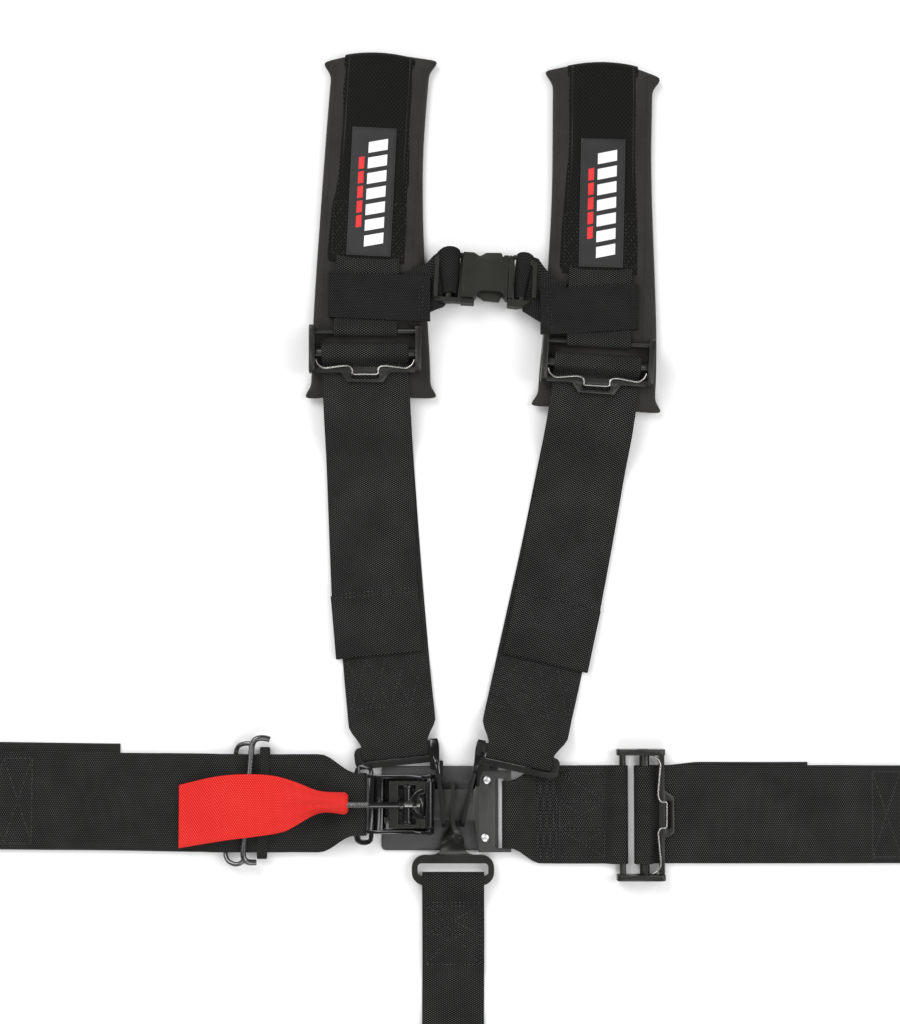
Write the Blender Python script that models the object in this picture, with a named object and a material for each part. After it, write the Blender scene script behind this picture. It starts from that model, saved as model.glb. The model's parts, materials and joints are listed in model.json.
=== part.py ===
"""A five-point racing harness laid out flat: two padded shoulder straps joined by a chest buckle,
two lap straps, a crotch strap, and the latch, tongue and links that gather them at the middle.

Lengths in this file are millimetres, and every mesh is scaled to metres when its object is made.
X runs across the wearer, Y runs up the body and Z stands off the floor. The origin is on the
underside of the backing flap, below the place where the links sit on the tongue.
"""
import math

import bmesh
import bpy
from mathutils import Matrix, Vector

MM = 0.001

# Webbing and the space that it keeps.
WEB = 1.4
GAP = 0.3
LAYER = WEB + GAP
FLOOR_LAYER = 0.9
LAP_WIDTH = 76.0
SHOULDER_WIDTH = 68.0
UPPER_WIDTH = 50.0
CHEST_WIDTH = 36.0
CROTCH_WIDTH = 48.0

# Shoulder pads.
PAD_TOP = 12.0
PAD_FLOOR = 0.2
PAD_ROOF = 6.7
PAD_GROOVE = 33.5
COVER_START = 79.0
DECK_LAYER = PAD_TOP + GAP + WEB / 2

# Tilt-lock adjusters, measured from the middle of the slide bar.
EAR = 4.5
EAR_LOW, EAR_HIGH = -16.0, 22.0
EAR_HEIGHT = 13.0
FIXED_BAR = 17.0
FIXED_BAR_R = 2.5
SLIDE_HALF_WIDTH, SLIDE_R = 4.0, 3.5
SLIDE_TRAVEL = 2.5
END_BAR = (-15.5, -11.0)
TAB_END = -23.0
SHOULDER_ADJUSTER = 87.5
LAP_ADJUSTER = 101.5

# The middle of the harness.
FLAP_TOP = 2.5
TONGUE_WIDTH = 24.0
TONGUE_Z = (8.0, 11.2)
TONGUE_BASE_Z = (3.4, 6.6)
TONGUE_BAR_X = 43.5
RIVETS = ((27.0, 18.8), (25.6, -25.9))
LINK_PLATE = 3.2
LINK_TOP = 18.8
LEG_LOW = FLAP_TOP + GAP
RING_BAR_Y = 46.5
LEFT_LINK_AT, LEFT_LINK_TURN = (-8.0, 0.0), 6.0
RIGHT_LINK_AT, RIGHT_LINK_TURN = (11.5, 0.0), -12.4
LEFT_RING_Z, RIGHT_RING_Z = 2.8, 9.6
LATCH_BAR_X, LATCH_BAR_Z = -73.5, 9.7
LEVER_PIN = (-18.0, 14.5)
CROTCH_BAR = (-58.8, 5.8)

# Adjusters and pads as they lie.
LEFT_ADJUSTER, LEFT_ADJUSTER_TURN = (-67.9, 352.0), 0.0
RIGHT_ADJUSTER, RIGHT_ADJUSTER_TURN = (113.8, 343.0), -3.5
LAP_ADJUSTER_AT = (150.0, -8.0)
LEFT_PAD_END, RIGHT_PAD_END = (-57.0, 585.0), (119.5, 577.5)
SLIDER_X = -158.6
ANCHOR_X = 425.0
CROTCH_ANCHOR_Y = -235.0
ANCHOR_Z = 4.8

# The chest buckle.
BUCKLE_AT, BUCKLE_TURN = (25.9, 413.0), -3.5
BUCKLE_Z = 11.0
SOCKET_BAR, PLUG_BAR = -27.5, 29.0
CHEST_BAR_R = 2.5

FINISHES = {
    "webbing": ((0.022, 0.022, 0.024), 0.75, 0.0),
    "neoprene": ((0.013, 0.012, 0.010), 0.85, 0.0),
    "panel": ((0.018, 0.019, 0.020), 0.8, 0.0),
    "label": ((0.02, 0.02, 0.02), 0.6, 0.0),
    "black_oxide": ((0.02, 0.02, 0.022), 0.35, 0.8),
    "black_gloss": ((0.012, 0.012, 0.013), 0.2, 0.6),
    "steel": ((0.5, 0.5, 0.5), 0.3, 1.0),
    "aluminium": ((0.75, 0.75, 0.76), 0.35, 1.0),
    "plastic": ((0.035, 0.035, 0.031), 0.5, 0.0),
    "rubber": ((0.06, 0.06, 0.06), 0.6, 0.0),
    "red_webbing": ((0.8, 0.02, 0.015), 0.6, 0.0),
}


def clear_scene():
    for thing in list(bpy.data.objects):
        bpy.data.objects.remove(thing, do_unlink=True)


def finish_of(slot):
    material = bpy.data.materials.get(slot) or bpy.data.materials.new(slot)
    colour, roughness, metallic = FINISHES[slot]
    material.use_nodes = True
    shader = material.node_tree.nodes["Principled BSDF"]
    shader.inputs["Base Color"].default_value = (*colour, 1.0)
    shader.inputs["Roughness"].default_value = roughness
    shader.inputs["Metallic"].default_value = metallic
    return material


def node(name, bm, slot, place=None, pivot=(0.0, 0.0, 0.0), smooth=True):
    """Makes the mesh an object whose origin is at the pivot, a world place in millimetres."""
    if place is not None:
        bmesh.ops.transform(bm, matrix=place, verts=bm.verts)
    bmesh.ops.translate(bm, vec=-Vector(pivot), verts=bm.verts)
    bmesh.ops.scale(bm, vec=(MM, MM, MM), verts=bm.verts)
    bmesh.ops.recalc_face_normals(bm, faces=bm.faces)
    mesh = bpy.data.meshes.new(name)
    bm.to_mesh(mesh)
    bm.free()
    made = bpy.data.objects.new(name, mesh)
    made.location = Vector(pivot) * MM
    made.data.materials.append(finish_of(slot))
    bpy.context.collection.objects.link(made)
    if smooth:
        mesh.shade_smooth()
        mesh.set_sharp_from_angle(angle=math.radians(35))
    return made


def join(base, *others, operation="UNION"):
    """Adds or cuts the other objects, which stay in the scene only as guides."""
    for other in others:
        modifier = base.modifiers.new(other.name, "BOOLEAN")
        modifier.operation = operation
        modifier.solver = "EXACT"
        modifier.object = other
        other.hide_render = True
        other.display_type = "WIRE"


def turned(at, degrees, z=0.0):
    return Matrix.Translation((at[0], at[1], z)) @ Matrix.Rotation(math.radians(degrees), 4, "Z")


def arc(centre, radius, start, end, steps):
    """Points of an arc, with both ends, in degrees."""
    angles = [math.radians(start + (end - start) * i / steps) for i in range(steps + 1)]
    return [(centre[0] + radius * math.cos(a), centre[1] + radius * math.sin(a)) for a in angles]


def rounded(x0, x1, y0, y1, radius, steps=3):
    """A rectangle with round corners, anticlockwise."""
    corners = [(x1, y1, 0, -1, -1), (x0, y1, 90, 1, -1), (x0, y0, 180, 1, 1), (x1, y0, 270, -1, 1)]
    points = []
    for x, y, start, sx, sy in corners:
        points += arc((x + sx * radius, y + sy * radius), radius, start, start + 90, steps)
    return points


def plate(loops, low, high):
    """A flat plate: the first loop is its outline, and the others are holes through it."""
    bm = bmesh.new()
    edges = []
    for loop in loops:
        verts = [bm.verts.new((x, y, low)) for x, y in loop]
        edges += [bm.edges.new((verts[i - 1], verts[i])) for i in range(len(verts))]
    filled = bmesh.ops.triangle_fill(bm, edges=edges, use_beauty=True, use_dissolve=False)
    faces = [g for g in filled["geom"] if isinstance(g, bmesh.types.BMFace)]
    grown = bmesh.ops.extrude_face_region(bm, geom=faces)
    top = [g for g in grown["geom"] if isinstance(g, bmesh.types.BMVert)]
    bmesh.ops.translate(bm, vec=(0, 0, high - low), verts=top)
    return bm


UPRIGHT = Matrix(((0, 0, 1, 0), (1, 0, 0, 0), (0, 1, 0, 0), (0, 0, 0, 1)))
ACROSS = Matrix(((1, 0, 0, 0), (0, 0, -1, 0), (0, 1, 0, 0), (0, 0, 0, 1)))


def upright(loops, x0, x1):
    """A plate that stands on edge: loops are in Y and Z, and it is thick along X."""
    bm = plate(loops, x0, x1)
    bmesh.ops.transform(bm, matrix=UPRIGHT, verts=bm.verts)
    return bm


def across(loops, y0, y1):
    """A plate that stands across the strap: loops are in X and Z, and it is thick along Y."""
    bm = plate(loops, -y1, -y0)
    bmesh.ops.transform(bm, matrix=ACROSS, verts=bm.verts)
    return bm


def circle(centre, radius, sides=16):
    return arc(centre, radius, 0, 360, sides)[:-1]


def stadium(centre, half_width, radius, steps=6):
    """A section with flat faces above and below and round ends."""
    reach = half_width - radius
    right = arc((centre[0] + reach, centre[1]), radius, -90, 90, steps)
    left = arc((centre[0] - reach, centre[1]), radius, 90, 270, steps)
    return right + left if reach > 0 else circle(centre, radius, 2 * steps)


def sliced(bm, positions):
    """Cuts every face of a plate along lines of constant X, so that it can be bent there."""
    for x in positions:
        geom = bm.verts[:] + bm.edges[:] + bm.faces[:]
        bmesh.ops.bisect_plane(bm, geom=geom, plane_co=(x, 0, 0), plane_no=(1, 0, 0))


def eased(value, start, end):
    share = min(max((value - start) / (end - start), 0.0), 1.0)
    return share * share * (3 - 2 * share)


# ---------------------------------------------------------------- webbing

def plan_line(start, start_heading, end, end_heading, pull_start, pull_end, steps=120):
    """A smooth line on the floor plan; headings are degrees anticlockwise from +Y.

    It returns the line's length and a function from the distance along it to the point there
    and the direction across it. Past either end the line runs straight on.
    """
    def heading(degrees):
        return Vector((-math.sin(math.radians(degrees)), math.cos(math.radians(degrees))))

    first, last = Vector(start), Vector(end)
    second = first + heading(start_heading) * pull_start
    third = last - heading(end_heading) * pull_end
    points = []
    for i in range(steps + 1):
        t = i / steps
        points.append(first * (1 - t) ** 3 + second * 3 * t * (1 - t) ** 2
                      + third * 3 * t * t * (1 - t) + last * t ** 3)
    lengths = [0.0]
    for a, b in zip(points, points[1:]):
        lengths.append(lengths[-1] + (b - a).length)

    def at(distance):
        i = 0
        while i < steps - 1 and lengths[i + 1] < distance:
            i += 1
        along = (points[i + 1] - points[i]).normalized()
        here = points[i] + along * (distance - lengths[i])
        return here, Vector((along.y, -along.x))

    return lengths[-1], at


def run(path, s, z, step=16.0):
    """Adds a straight stretch to a strap's side view, in pieces no longer than a step."""
    s0, z0 = path[-1]
    pieces = max(1, math.ceil(abs(s - s0) / step))
    path += [(s0 + (s - s0) * i / pieces, z0 + (z - z0) * i / pieces) for i in range(1, pieces + 1)]


def fold(path, centre, radius, start, end, steps=10):
    """Adds a turn round a bar, or a hem's turn, to a strap's side view."""
    path += arc(centre, radius, start, end, steps)


def strap(name, line, path, width, slot="webbing"):
    """A strap of webbing whose middle follows a side view, laid along a line on the plan.

    width is a number or a function of the distance.
    """
    tidy = [path[0]]
    for point in path[1:]:
        if math.dist(point, tidy[-1]) > 0.05:
            tidy.append(point)
    rings = []
    bm = bmesh.new()
    for i, (s, z) in enumerate(tidy):
        before, after = tidy[max(i - 1, 0)], tidy[min(i + 1, len(tidy) - 1)]
        run_s, run_z = after[0] - before[0], after[1] - before[1]
        size = math.hypot(run_s, run_z)
        lift = Vector((-run_z / size, run_s / size)) * WEB / 2
        half = (width(s) if callable(width) else width) / 2
        ring = []
        for reach, sign in ((-half, -1), (half, -1), (half, 1), (-half, 1)):
            here, sideways = line(s + sign * lift[0])
            spot = here + sideways * reach
            ring.append(bm.verts.new((spot.x, spot.y, z + sign * lift[1])))
        rings.append(ring)
    for a, b in zip(rings, rings[1:]):
        for k in range(4):
            bm.faces.new((a[k], a[(k + 1) % 4], b[(k + 1) % 4], b[k]))
    bm.faces.new(rings[0])
    bm.faces.new(rings[-1])
    return node(name, bm, slot)


def tapered(wide, narrow, start, end):
    """A strap's width that goes from narrow at start to wide at end."""
    return lambda s: narrow + (wide - narrow) * eased(s, start, end)


# ---------------------------------------------------------------- adjusters

def adjuster(name, place, outer, base):
    """A tilt-lock adjuster: frame with ears, fixed bar, end bar and lift tab, and its spring."""
    bar_z = base + 1.0 + WEB / 2 + GAP + SLIDE_R
    outline = rounded(EAR_LOW, EAR_HIGH, base + GAP, base + EAR_HEIGHT, 4.0)
    slot = stadium((SLIDE_TRAVEL / 2, bar_z), SLIDE_HALF_WIDTH + SLIDE_TRAVEL / 2 + 0.3,
                   SLIDE_R + 0.3)
    half = outer / 2
    frame = node(f"{name}_frame", upright([outline, slot], half - EAR, half), "black_oxide", place)
    far_ear = node(f"{name}_guide_ear", upright([outline, slot], -half, EAR - half),
                   "black_oxide", place)
    fixed = upright([circle((FIXED_BAR, base + 4.5), FIXED_BAR_R, 12)], 1 - half, half - 1)
    fixed_bar = node(f"{name}_guide_fixed", fixed, "black_oxide", place)
    reach = half - 1
    tab = 19.0
    end = [(-reach, END_BAR[0]), (-tab, END_BAR[0]), (-tab + 5, TAB_END), (tab - 5, TAB_END),
           (tab, END_BAR[0]), (reach, END_BAR[0]), (reach, END_BAR[1]), (-reach, END_BAR[1])]
    finger = rounded(-11.0, 11.0, -20.6, -15.9, 2.0, 2)
    end_plate = node(f"{name}_guide_end", plate([end, finger], base + 4.0, base + 7.0),
                     "black_oxide", place)
    join(frame, far_ear, fixed_bar, end_plate)
    spring_z = base + 8.2
    side = [(half - EAR - 0.6, -7.5), (33.5, -12.5), (14.0, -10.6), (9.0, -13.0), (8.6, -17.6)]
    points = [(x, y) for x, y in side] + [(-x, y) for x, y in reversed(side)]
    wire(f"{name}_spring", [(x, y, spring_z) for x, y in points], 0.8, "steel", place)
    return bar_z


def wire(name, points, radius, slot, place=None):
    """A round wire through the points, with capped ends."""
    curve = bpy.data.curves.new(name, "CURVE")
    curve.dimensions = "3D"
    curve.bevel_depth = radius * MM
    curve.bevel_resolution = 1
    curve.use_fill_caps = True
    spline = curve.splines.new("POLY")
    spline.points.add(len(points) - 1)
    for target, point in zip(spline.points, points):
        spot = (place or Matrix.Identity(4)) @ Vector(point)
        target.co = (*(spot * MM), 1.0)
    made = bpy.data.objects.new(name, curve)
    curve.materials.append(finish_of(slot))
    bpy.context.collection.objects.link(made)
    return made


def slide_bar(name, place, outer, bar_z):
    bm = upright([stadium((0, bar_z), SLIDE_HALF_WIDTH, SLIDE_R)], -(outer - 1) / 2, (outer - 1) / 2)
    node(name, bm, "black_oxide", place, pivot=place @ Vector((0, 0, bar_z)))


def adjuster_wrap(path, at, toward, base):
    """Takes a strap under the slide bar, round it and back over, at a distance along its line.

    toward is +1 where the fixed side lies further along the line, and -1 where it lies nearer.
    """
    low = base + 1.0
    radius = SLIDE_R + GAP + WEB / 2
    centre = (at + toward * 3.1, low + radius)
    run(path, centre[0], low)
    fold(path, centre, radius, -90, -90 + toward * 180)
    run(path, at - toward * 2.5, low + 2 * radius)
    run(path, at - toward * 9.5, low + LAYER)


# ---------------------------------------------------------------- shoulders

def ring_link(name, place, mirror, ring_z):
    """A link: an upright leg with a slot for the tongue, and a flat ring that holds a strap."""
    half = LINK_PLATE / 2
    leg = [(-17, LEG_LOW), (21, LEG_LOW), (29, ring_z), (50, ring_z), (50, ring_z + LINK_PLATE),
           (40, ring_z + LINK_PLATE + 2), (24, LINK_TOP), (-13, LINK_TOP), (-17, LINK_TOP - 4)]
    slot = rounded(-13.5, 13.5, TONGUE_Z[0] - 0.9, TONGUE_Z[1] + 0.9, 1.5, 2)
    link = node(name, upright([leg, slot], -half, half), "black_oxide", place)
    outer = rounded(-64.0, half - 0.1, 33.4, 50.2, 5.0)
    if mirror:
        outer = rounded(0.1 - half, 64.0, 33.4, 50.2, 5.0)
    x0, x1 = (5.5, 58.5) if mirror else (-58.5, -5.5)
    hole = rounded(x0, x1, 38.2, 43.4, 2.0)
    ring = node(f"{name}_guide", plate([outer, hole], ring_z, ring_z + LINK_PLATE), "black_oxide", place)
    join(link, ring)


def shoulder_strap(name, line, length, ring_z):
    """The strap from the link up to the slide bar, and its tail down again to a sewn hem."""
    middle = ring_z + LINK_PLATE / 2
    radius = LINK_PLATE / 2 + GAP + WEB / 2
    low = max(middle - radius, FLOOR_LAYER)
    path = [(58.0, FLOOR_LAYER)]
    run(path, 24.0, FLOOR_LAYER)
    run(path, 5.0, low)
    run(path, -2.8, low)
    fold(path, (-2.8, middle), radius, -90, -270)
    run(path, 6.0, middle + radius)
    run(path, 38.0, FLOOR_LAYER + LAYER)
    run(path, 58.0, FLOOR_LAYER + LAYER)
    run(path, 66.0, FLOOR_LAYER)
    run(path, length - 88.0, FLOOR_LAYER)
    run(path, length - 45.0, DECK_LAYER, 8.0)
    adjuster_wrap(path, length, 1, PAD_TOP)
    run(path, length - 45.0, DECK_LAYER + LAYER)
    run(path, length - 88.0, FLOOR_LAYER + LAYER, 8.0)
    hem_end = max(length - 246.0, 75.0)
    run(path, hem_end + 62.0, FLOOR_LAYER + LAYER)
    run(path, hem_end + 50.0, FLOOR_LAYER + 2 * LAYER)
    run(path, hem_end, FLOOR_LAYER + 2 * LAYER)
    fold(path, (hem_end, FLOOR_LAYER + 1.5 * LAYER), LAYER / 2, 90, 270, 4)
    run(path, hem_end + 48.0, FLOOR_LAYER + LAYER)
    strap(name, line, path, tapered(SHOULDER_WIDTH, 48.0, 8.0, 34.0))


def upper_strap(name, line, length, slot_bar):
    """The strap from the adjuster's fixed bar over the pad, round its end and back to the bracket."""
    radius = FIXED_BAR_R + GAP + WEB / 2
    path = [(70.0, DECK_LAYER + LAYER)]
    run(path, 26.0, DECK_LAYER + LAYER)
    run(path, 20.0, DECK_LAYER)
    run(path, FIXED_BAR, DECK_LAYER)
    fold(path, (FIXED_BAR, DECK_LAYER + radius), radius, -90, -270)
    run(path, 19.0, DECK_LAYER + 2 * radius)
    run(path, 26.0, DECK_LAYER + 2 * LAYER)
    run(path, 71.0, DECK_LAYER + 2 * LAYER)
    run(path, 78.0, DECK_LAYER)
    run(path, length, DECK_LAYER)
    turn = (DECK_LAYER - FLOOR_LAYER) / 2
    fold(path, (length + 0.5, FLOOR_LAYER + turn), turn, 90, -90, 10)
    run(path, slot_bar - 2.2, FLOOR_LAYER)
    fold(path, (slot_bar - 2.2, FLOOR_LAYER + 2.25), 2.25, -90, -270)
    run(path, slot_bar + 7.0, FLOOR_LAYER + 4.2)
    run(path, slot_bar + 14.0, FLOOR_LAYER + LAYER)
    run(path, slot_bar + 44.0, FLOOR_LAYER + LAYER)
    strap(name, line, path, UPPER_WIDTH)


def section_loft(name, line, sections, slot):
    """A body through cross sections; each one is a distance and a loop of points across and up."""
    bm = bmesh.new()
    rings = []
    for s, loop in sections:
        here, sideways = line(s)
        rings.append([bm.verts.new((*(here + sideways * x), z)) for x, z in loop])
    for a, b in zip(rings, rings[1:]):
        for k in range(len(a)):
            bm.faces.new((a[k - 1], a[k], b[k], b[k - 1]))
    bm.faces.new(rings[0])
    bm.faces.new(rings[-1])
    return node(name, bm, slot)


def pad(name, line, length, left, right):
    """A foam pad with a groove below it for the strap; its width grows towards the adjuster."""
    sections = []
    for i in range(9):
        s = -37.0 + (length + 37.0) * i / 8
        x0, x1 = left(s), right(s)
        loop = [(x0, PAD_FLOOR), (x0, PAD_TOP - 3), (x0 + 3, PAD_TOP), (x1 - 3, PAD_TOP),
                (x1, PAD_TOP - 3), (x1, PAD_FLOOR), (PAD_GROOVE, PAD_FLOOR),
                (PAD_GROOVE, PAD_ROOF), (-PAD_GROOVE, PAD_ROOF), (-PAD_GROOVE, PAD_FLOOR)]
        sections.append((s, loop))
    section_loft(name, line, sections, "neoprene")


def panel(name, line, length):
    """The woven cover that is sewn along both sides over the strap."""
    skin = 1.2
    crown = PAD_TOP + GAP + WEB + GAP
    sections = []
    for i in range(6):
        s = COVER_START + (length - COVER_START) * i / 5
        half = 32.0 - 3.5 * i / 5
        loop = [(-half, PAD_TOP + GAP), (-half, crown), (-half + skin, crown + skin),
                (half - skin, crown + skin), (half, crown), (half, PAD_TOP + GAP),
                (half - skin, PAD_TOP + GAP), (half - skin, crown - 0.1),
                (skin - half, crown - 0.1), (skin - half, PAD_TOP + GAP)]
        sections.append((s, loop))
    section_loft(name, line, sections, "panel")
    return crown + skin


def bracket(name, place, z, slot="black_oxide"):
    """A flat bolt-in anchor: the strap's bar lies along X at the origin, and the eye is at -Y."""
    outline = [(-32, 2.5), (32, 2.5), (32, -9), (15, -26), (14, -36)]
    outline += arc((0, -36), 14, 0, -180, 8)[1:-1]
    outline += [(-14, -36), (-15, -26), (-32, -9)]
    slot_hole = rounded(-27, 27, -11.5, -2.5, 2.0)
    bolt_hole = circle((0, -36), 5.6, 16)
    thick = 1.25
    return node(name, plate([outline, slot_hole, bolt_hole], z - thick, z + thick), slot, place)


def shoulder(side, link_at, link_turn, ring_z, adjuster_at, adjuster_turn, pad_end, pad_sides):
    """One shoulder from its link to the top of its pad."""
    mirror = side == "right"
    place = turned(link_at, link_turn)
    ring_link(f"{side}_shoulder_link", place, mirror, ring_z)
    middle = 32.0 if mirror else -32.0
    start = place @ Vector((middle, RING_BAR_Y, 0))
    length, line = plan_line(start.xy, link_turn, adjuster_at, adjuster_turn, 110.0, 60.0)
    shoulder_strap(f"{side}_shoulder_webbing", line, length, ring_z)
    seat = turned(adjuster_at, adjuster_turn)
    bar_z = adjuster(f"{side}_shoulder_adjuster", seat, SHOULDER_ADJUSTER, PAD_TOP)
    slide_bar(f"{side}_shoulder_slide_bar", seat, SHOULDER_ADJUSTER, bar_z)
    run_up = Vector(pad_end) - Vector(adjuster_at)
    lean = math.degrees(math.atan2(-run_up.x, run_up.y))
    upper, upper_line = plan_line(adjuster_at, adjuster_turn, pad_end, lean + (lean - adjuster_turn) * 0.3,
                                  60.0, 90.0)
    upper_strap(f"{side}_shoulder_upper_strap", upper_line, upper, 110.0)
    pad(f"{side}_shoulder_pad", upper_line, upper, *pad_sides)
    crown = panel(f"{side}_pad_cover", upper_line, upper)
    here, _ = upper_line(128.0)
    label = plate([rounded(-17.5, 17.5, -51.0, 51.0, 1.5, 1)], crown + GAP, crown + GAP + 0.6)
    node(f"{side}_pad_label", label, "label", turned(here, lean))
    here, sideways = upper_line(110.0)
    back = math.degrees(math.atan2(sideways.y, sideways.x))
    bracket(f"{side}_shoulder_anchor", turned(here, back), FLOOR_LAYER + 2.25)


# ---------------------------------------------------------------- chest strap and buckle

def chest_strap(side, line, length, near, level):
    """The band round the shoulder strap, which runs on to the buckle's bar and back.

    Distances are along a line from the shoulder strap's far side to the buckle's bar, and near
    is where the band is sewn down.
    """
    low, high = DECK_LAYER, DECK_LAYER + 3 * LAYER
    turn = (high - low) / 2
    radius = CHEST_BAR_R + GAP + WEB / 2
    path = [(near, high)]
    run(path, 0.0, high)
    fold(path, (0.0, low + turn), turn, 90, 270)
    run(path, length - 12.5, low, 8.0)
    run(path, length - 2.5, level - radius, 6.0)
    run(path, length, level - radius)
    fold(path, (length, level), radius, -90, 90)
    run(path, length - 6.0, level + radius - 0.2)
    run(path, length - 13.0, low + LAYER)
    run(path, length - 32.0, low + LAYER)
    strap(f"{side}_chest_strap", line, path, CHEST_WIDTH)


def buckle_halves():
    """A side-release buckle: an open socket, and a plug with two arms that spring apart."""
    place = turned(BUCKLE_AT, BUCKLE_TURN)
    low, high = BUCKLE_Z - 5.5, BUCKLE_Z + 5.5
    shell = [(-17.5, -20.5), (18, -20.5), (20, -17.5), (20, 17.5), (18, 20.5), (-17.5, 20.5)]
    socket = node("chest_socket", plate([shell], low, high), "plastic", place)
    rails = [node(f"chest_socket_guide_rail_{word}",
                  plate([[(-30.5, y), (-16.5, y), (-16.5, y + 3), (-30.5, y + 3)]],
                        BUCKLE_Z - 3, BUCKLE_Z + 3), "plastic", place)
             for y, word in ((-23.0, "lower"), (20.0, "upper"))]
    bar = node("chest_socket_guide_bar", upright([circle((0, 0), CHEST_BAR_R, 12)], -21.0, 21.0),
               "plastic", place @ Matrix.Translation((SOCKET_BAR, 0, BUCKLE_Z))
               @ Matrix.Rotation(math.radians(90), 4, "Z"))
    join(socket, *rails, bar)
    inside = plate([[(-12, -16.8), (24, -16.8), (24, 16.8), (-12, 16.8)]], low + 1.8, high - 1.8)
    cavity = node("chest_socket_guide_cavity", inside, "plastic", place)
    windows = []
    for sign, word in ((1, "upper"), (-1, "lower")):
        y0, y1 = sorted((sign * 13.5, sign * 24.0))
        window = plate([rounded(-8.0, 24.0, y0, y1, 2.0, 2)], low - 1, high + 1)
        windows.append(node(f"chest_socket_guide_{word}", window, "plastic", place))
    join(socket, cavity, *windows, operation="DIFFERENCE")

    base = plate([[(20.6, -23), (32.5, -23), (32.5, -20.2), (24.2, -20.2), (24.2, 20.2),
                   (32.5, 20.2), (32.5, 23), (20.6, 23)]], BUCKLE_Z - 3.2, BUCKLE_Z + 3.2)
    plug = node("chest_plug", base, "plastic", place)
    plug_bar = upright([circle((0, 0), CHEST_BAR_R, 12)], -21.0, 21.0)
    plug_guide = node("chest_plug_guide_bar", plug_bar, "plastic",
                      place @ Matrix.Translation((PLUG_BAR, 0, BUCKLE_Z))
                      @ Matrix.Rotation(math.radians(90), 4, "Z"))
    spine = plate([rounded(-8.0, 22.0, -3.0, 3.0, 2.0, 2)], BUCKLE_Z - 2.4, BUCKLE_Z + 2.4)
    join(plug, plug_guide, node("chest_plug_guide_spine", spine, "plastic", place))
    for sign, word in ((1, "upper"), (-1, "lower")):
        outline = [(20.0, 6.0), (20.0, 13.5), (14.0, 14.2), (12.0, 19.6), (0.0, 19.0), (-7.0, 14.5),
                   (-10.5, 9.0), (-8.5, 6.5), (-2.0, 10.0), (10.0, 11.0), (16.0, 6.0)]
        outline = [(x, sign * y) for x, y in outline]
        hinge = place @ Vector((18.5, sign * 9.5, BUCKLE_Z))
        node(f"chest_prong_{word}", plate([outline], BUCKLE_Z - 2.8, BUCKLE_Z + 2.8), "plastic",
             place, pivot=hinge)


# ---------------------------------------------------------------- the middle

def backing_flap():
    outline = rounded(-55.0, 36.0, -36.0, 29.4, 3.0, 2)
    holes = [circle(spot, 2.3, 8) for spot in RIVETS]
    node("backing_flap", plate([outline, *holes], 0.0, FLAP_TOP), "rubber")


def rivets():
    for spot, word in zip(RIVETS, ("upper", "lower")):
        bm = bmesh.new()
        top = TONGUE_BASE_Z[1] + GAP
        profile = [(0, 0.3), (1.9, 0.3), (1.9, top), (3.8, top), (3.8, top + 0.6), (2.8, top + 1.6),
                   (0, top + 2.0)]
        verts = [bm.verts.new((spot[0] + r, spot[1], z)) for r, z in profile]
        edges = [bm.edges.new(pair) for pair in zip(verts, verts[1:])]
        bmesh.ops.spin(bm, geom=verts + edges, axis=(0, 0, 1), cent=(spot[0], spot[1], 0),
                       angle=math.tau, steps=12, use_merge=True)
        bmesh.ops.remove_doubles(bm, verts=bm.verts, dist=0.001)
        node(f"rivet_{word}", bm, "aluminium")


def tongue():
    """The tongue: a flat nose that the links hang on, stepped down to a riveted base with a bar."""
    nose = TONGUE_WIDTH / 2
    end = TONGUE_BAR_X + 2.5
    outline = [(-45, -nose + 3), (-42, -nose), (17.5, -nose), (20.5, -37), (end, -37), (end, 26),
               (20.5, 26), (17.5, nose), (-42, nose), (-45, nose - 3)]
    catch = rounded(-40.8, -32.0, -6.0, 6.0, 1.0, 1)
    slot = rounded(33.5, TONGUE_BAR_X - 2.5, -34.0, 20.0, 1.5, 2)
    holes = [circle(spot, 2.3, 8) for spot in RIVETS]
    bm = plate([outline, catch, slot, *holes], *TONGUE_Z)
    sliced(bm, [16.0 + i for i in range(7)])
    drop = TONGUE_Z[0] - TONGUE_BASE_Z[0]
    for vert in bm.verts:
        vert.co.z -= drop * eased(vert.co.x, 16.8, 21.6)
    node("tongue", bm, "black_oxide")


def crotch_link():
    """The lowest link: its leg stands on edge and twists a quarter turn into a flat ring."""
    top, leg_half = 17.0, 7.7
    ring_start, ring_end = 55.5, 17.0 + 62.5
    outline = [(0, -leg_half), (44, -leg_half), (50, -9.0)]
    outline += arc((ring_start + 10, -22), 10, 180, 270, 4)
    outline += arc((ring_end - 10, -22), 10, 270, 360, 4)
    outline += [(x, -y) for x, y in reversed(outline)]
    slot = rounded(3.5, 30.5, TONGUE_Z[0] - 0.9 - 10.8, TONGUE_Z[1] + 0.9 - 10.8, 1.5, 2)
    bar = top - CROTCH_BAR[0]
    hole = rounded(62.5, bar - 3.5, -27.5, 27.5, 3.0)
    bm = plate([outline, slot, hole], -LINK_PLATE / 2, LINK_PLATE / 2)
    sliced(bm, [38.0 + 2.0 * i for i in range(14)])
    for vert in bm.verts:
        along, wide, thick = vert.co
        turn = math.radians(90) * (1 - eased(along, 38.0, 58.0))
        height = 10.8 - (10.8 - CROTCH_BAR[1]) * eased(along, 53.0, 64.0)
        vert.co = (0.7 + wide * math.cos(turn) - thick * math.sin(turn), top - along,
                   height + wide * math.sin(turn) + thick * math.cos(turn))
    node("crotch_link", bm, "black_gloss")


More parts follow.
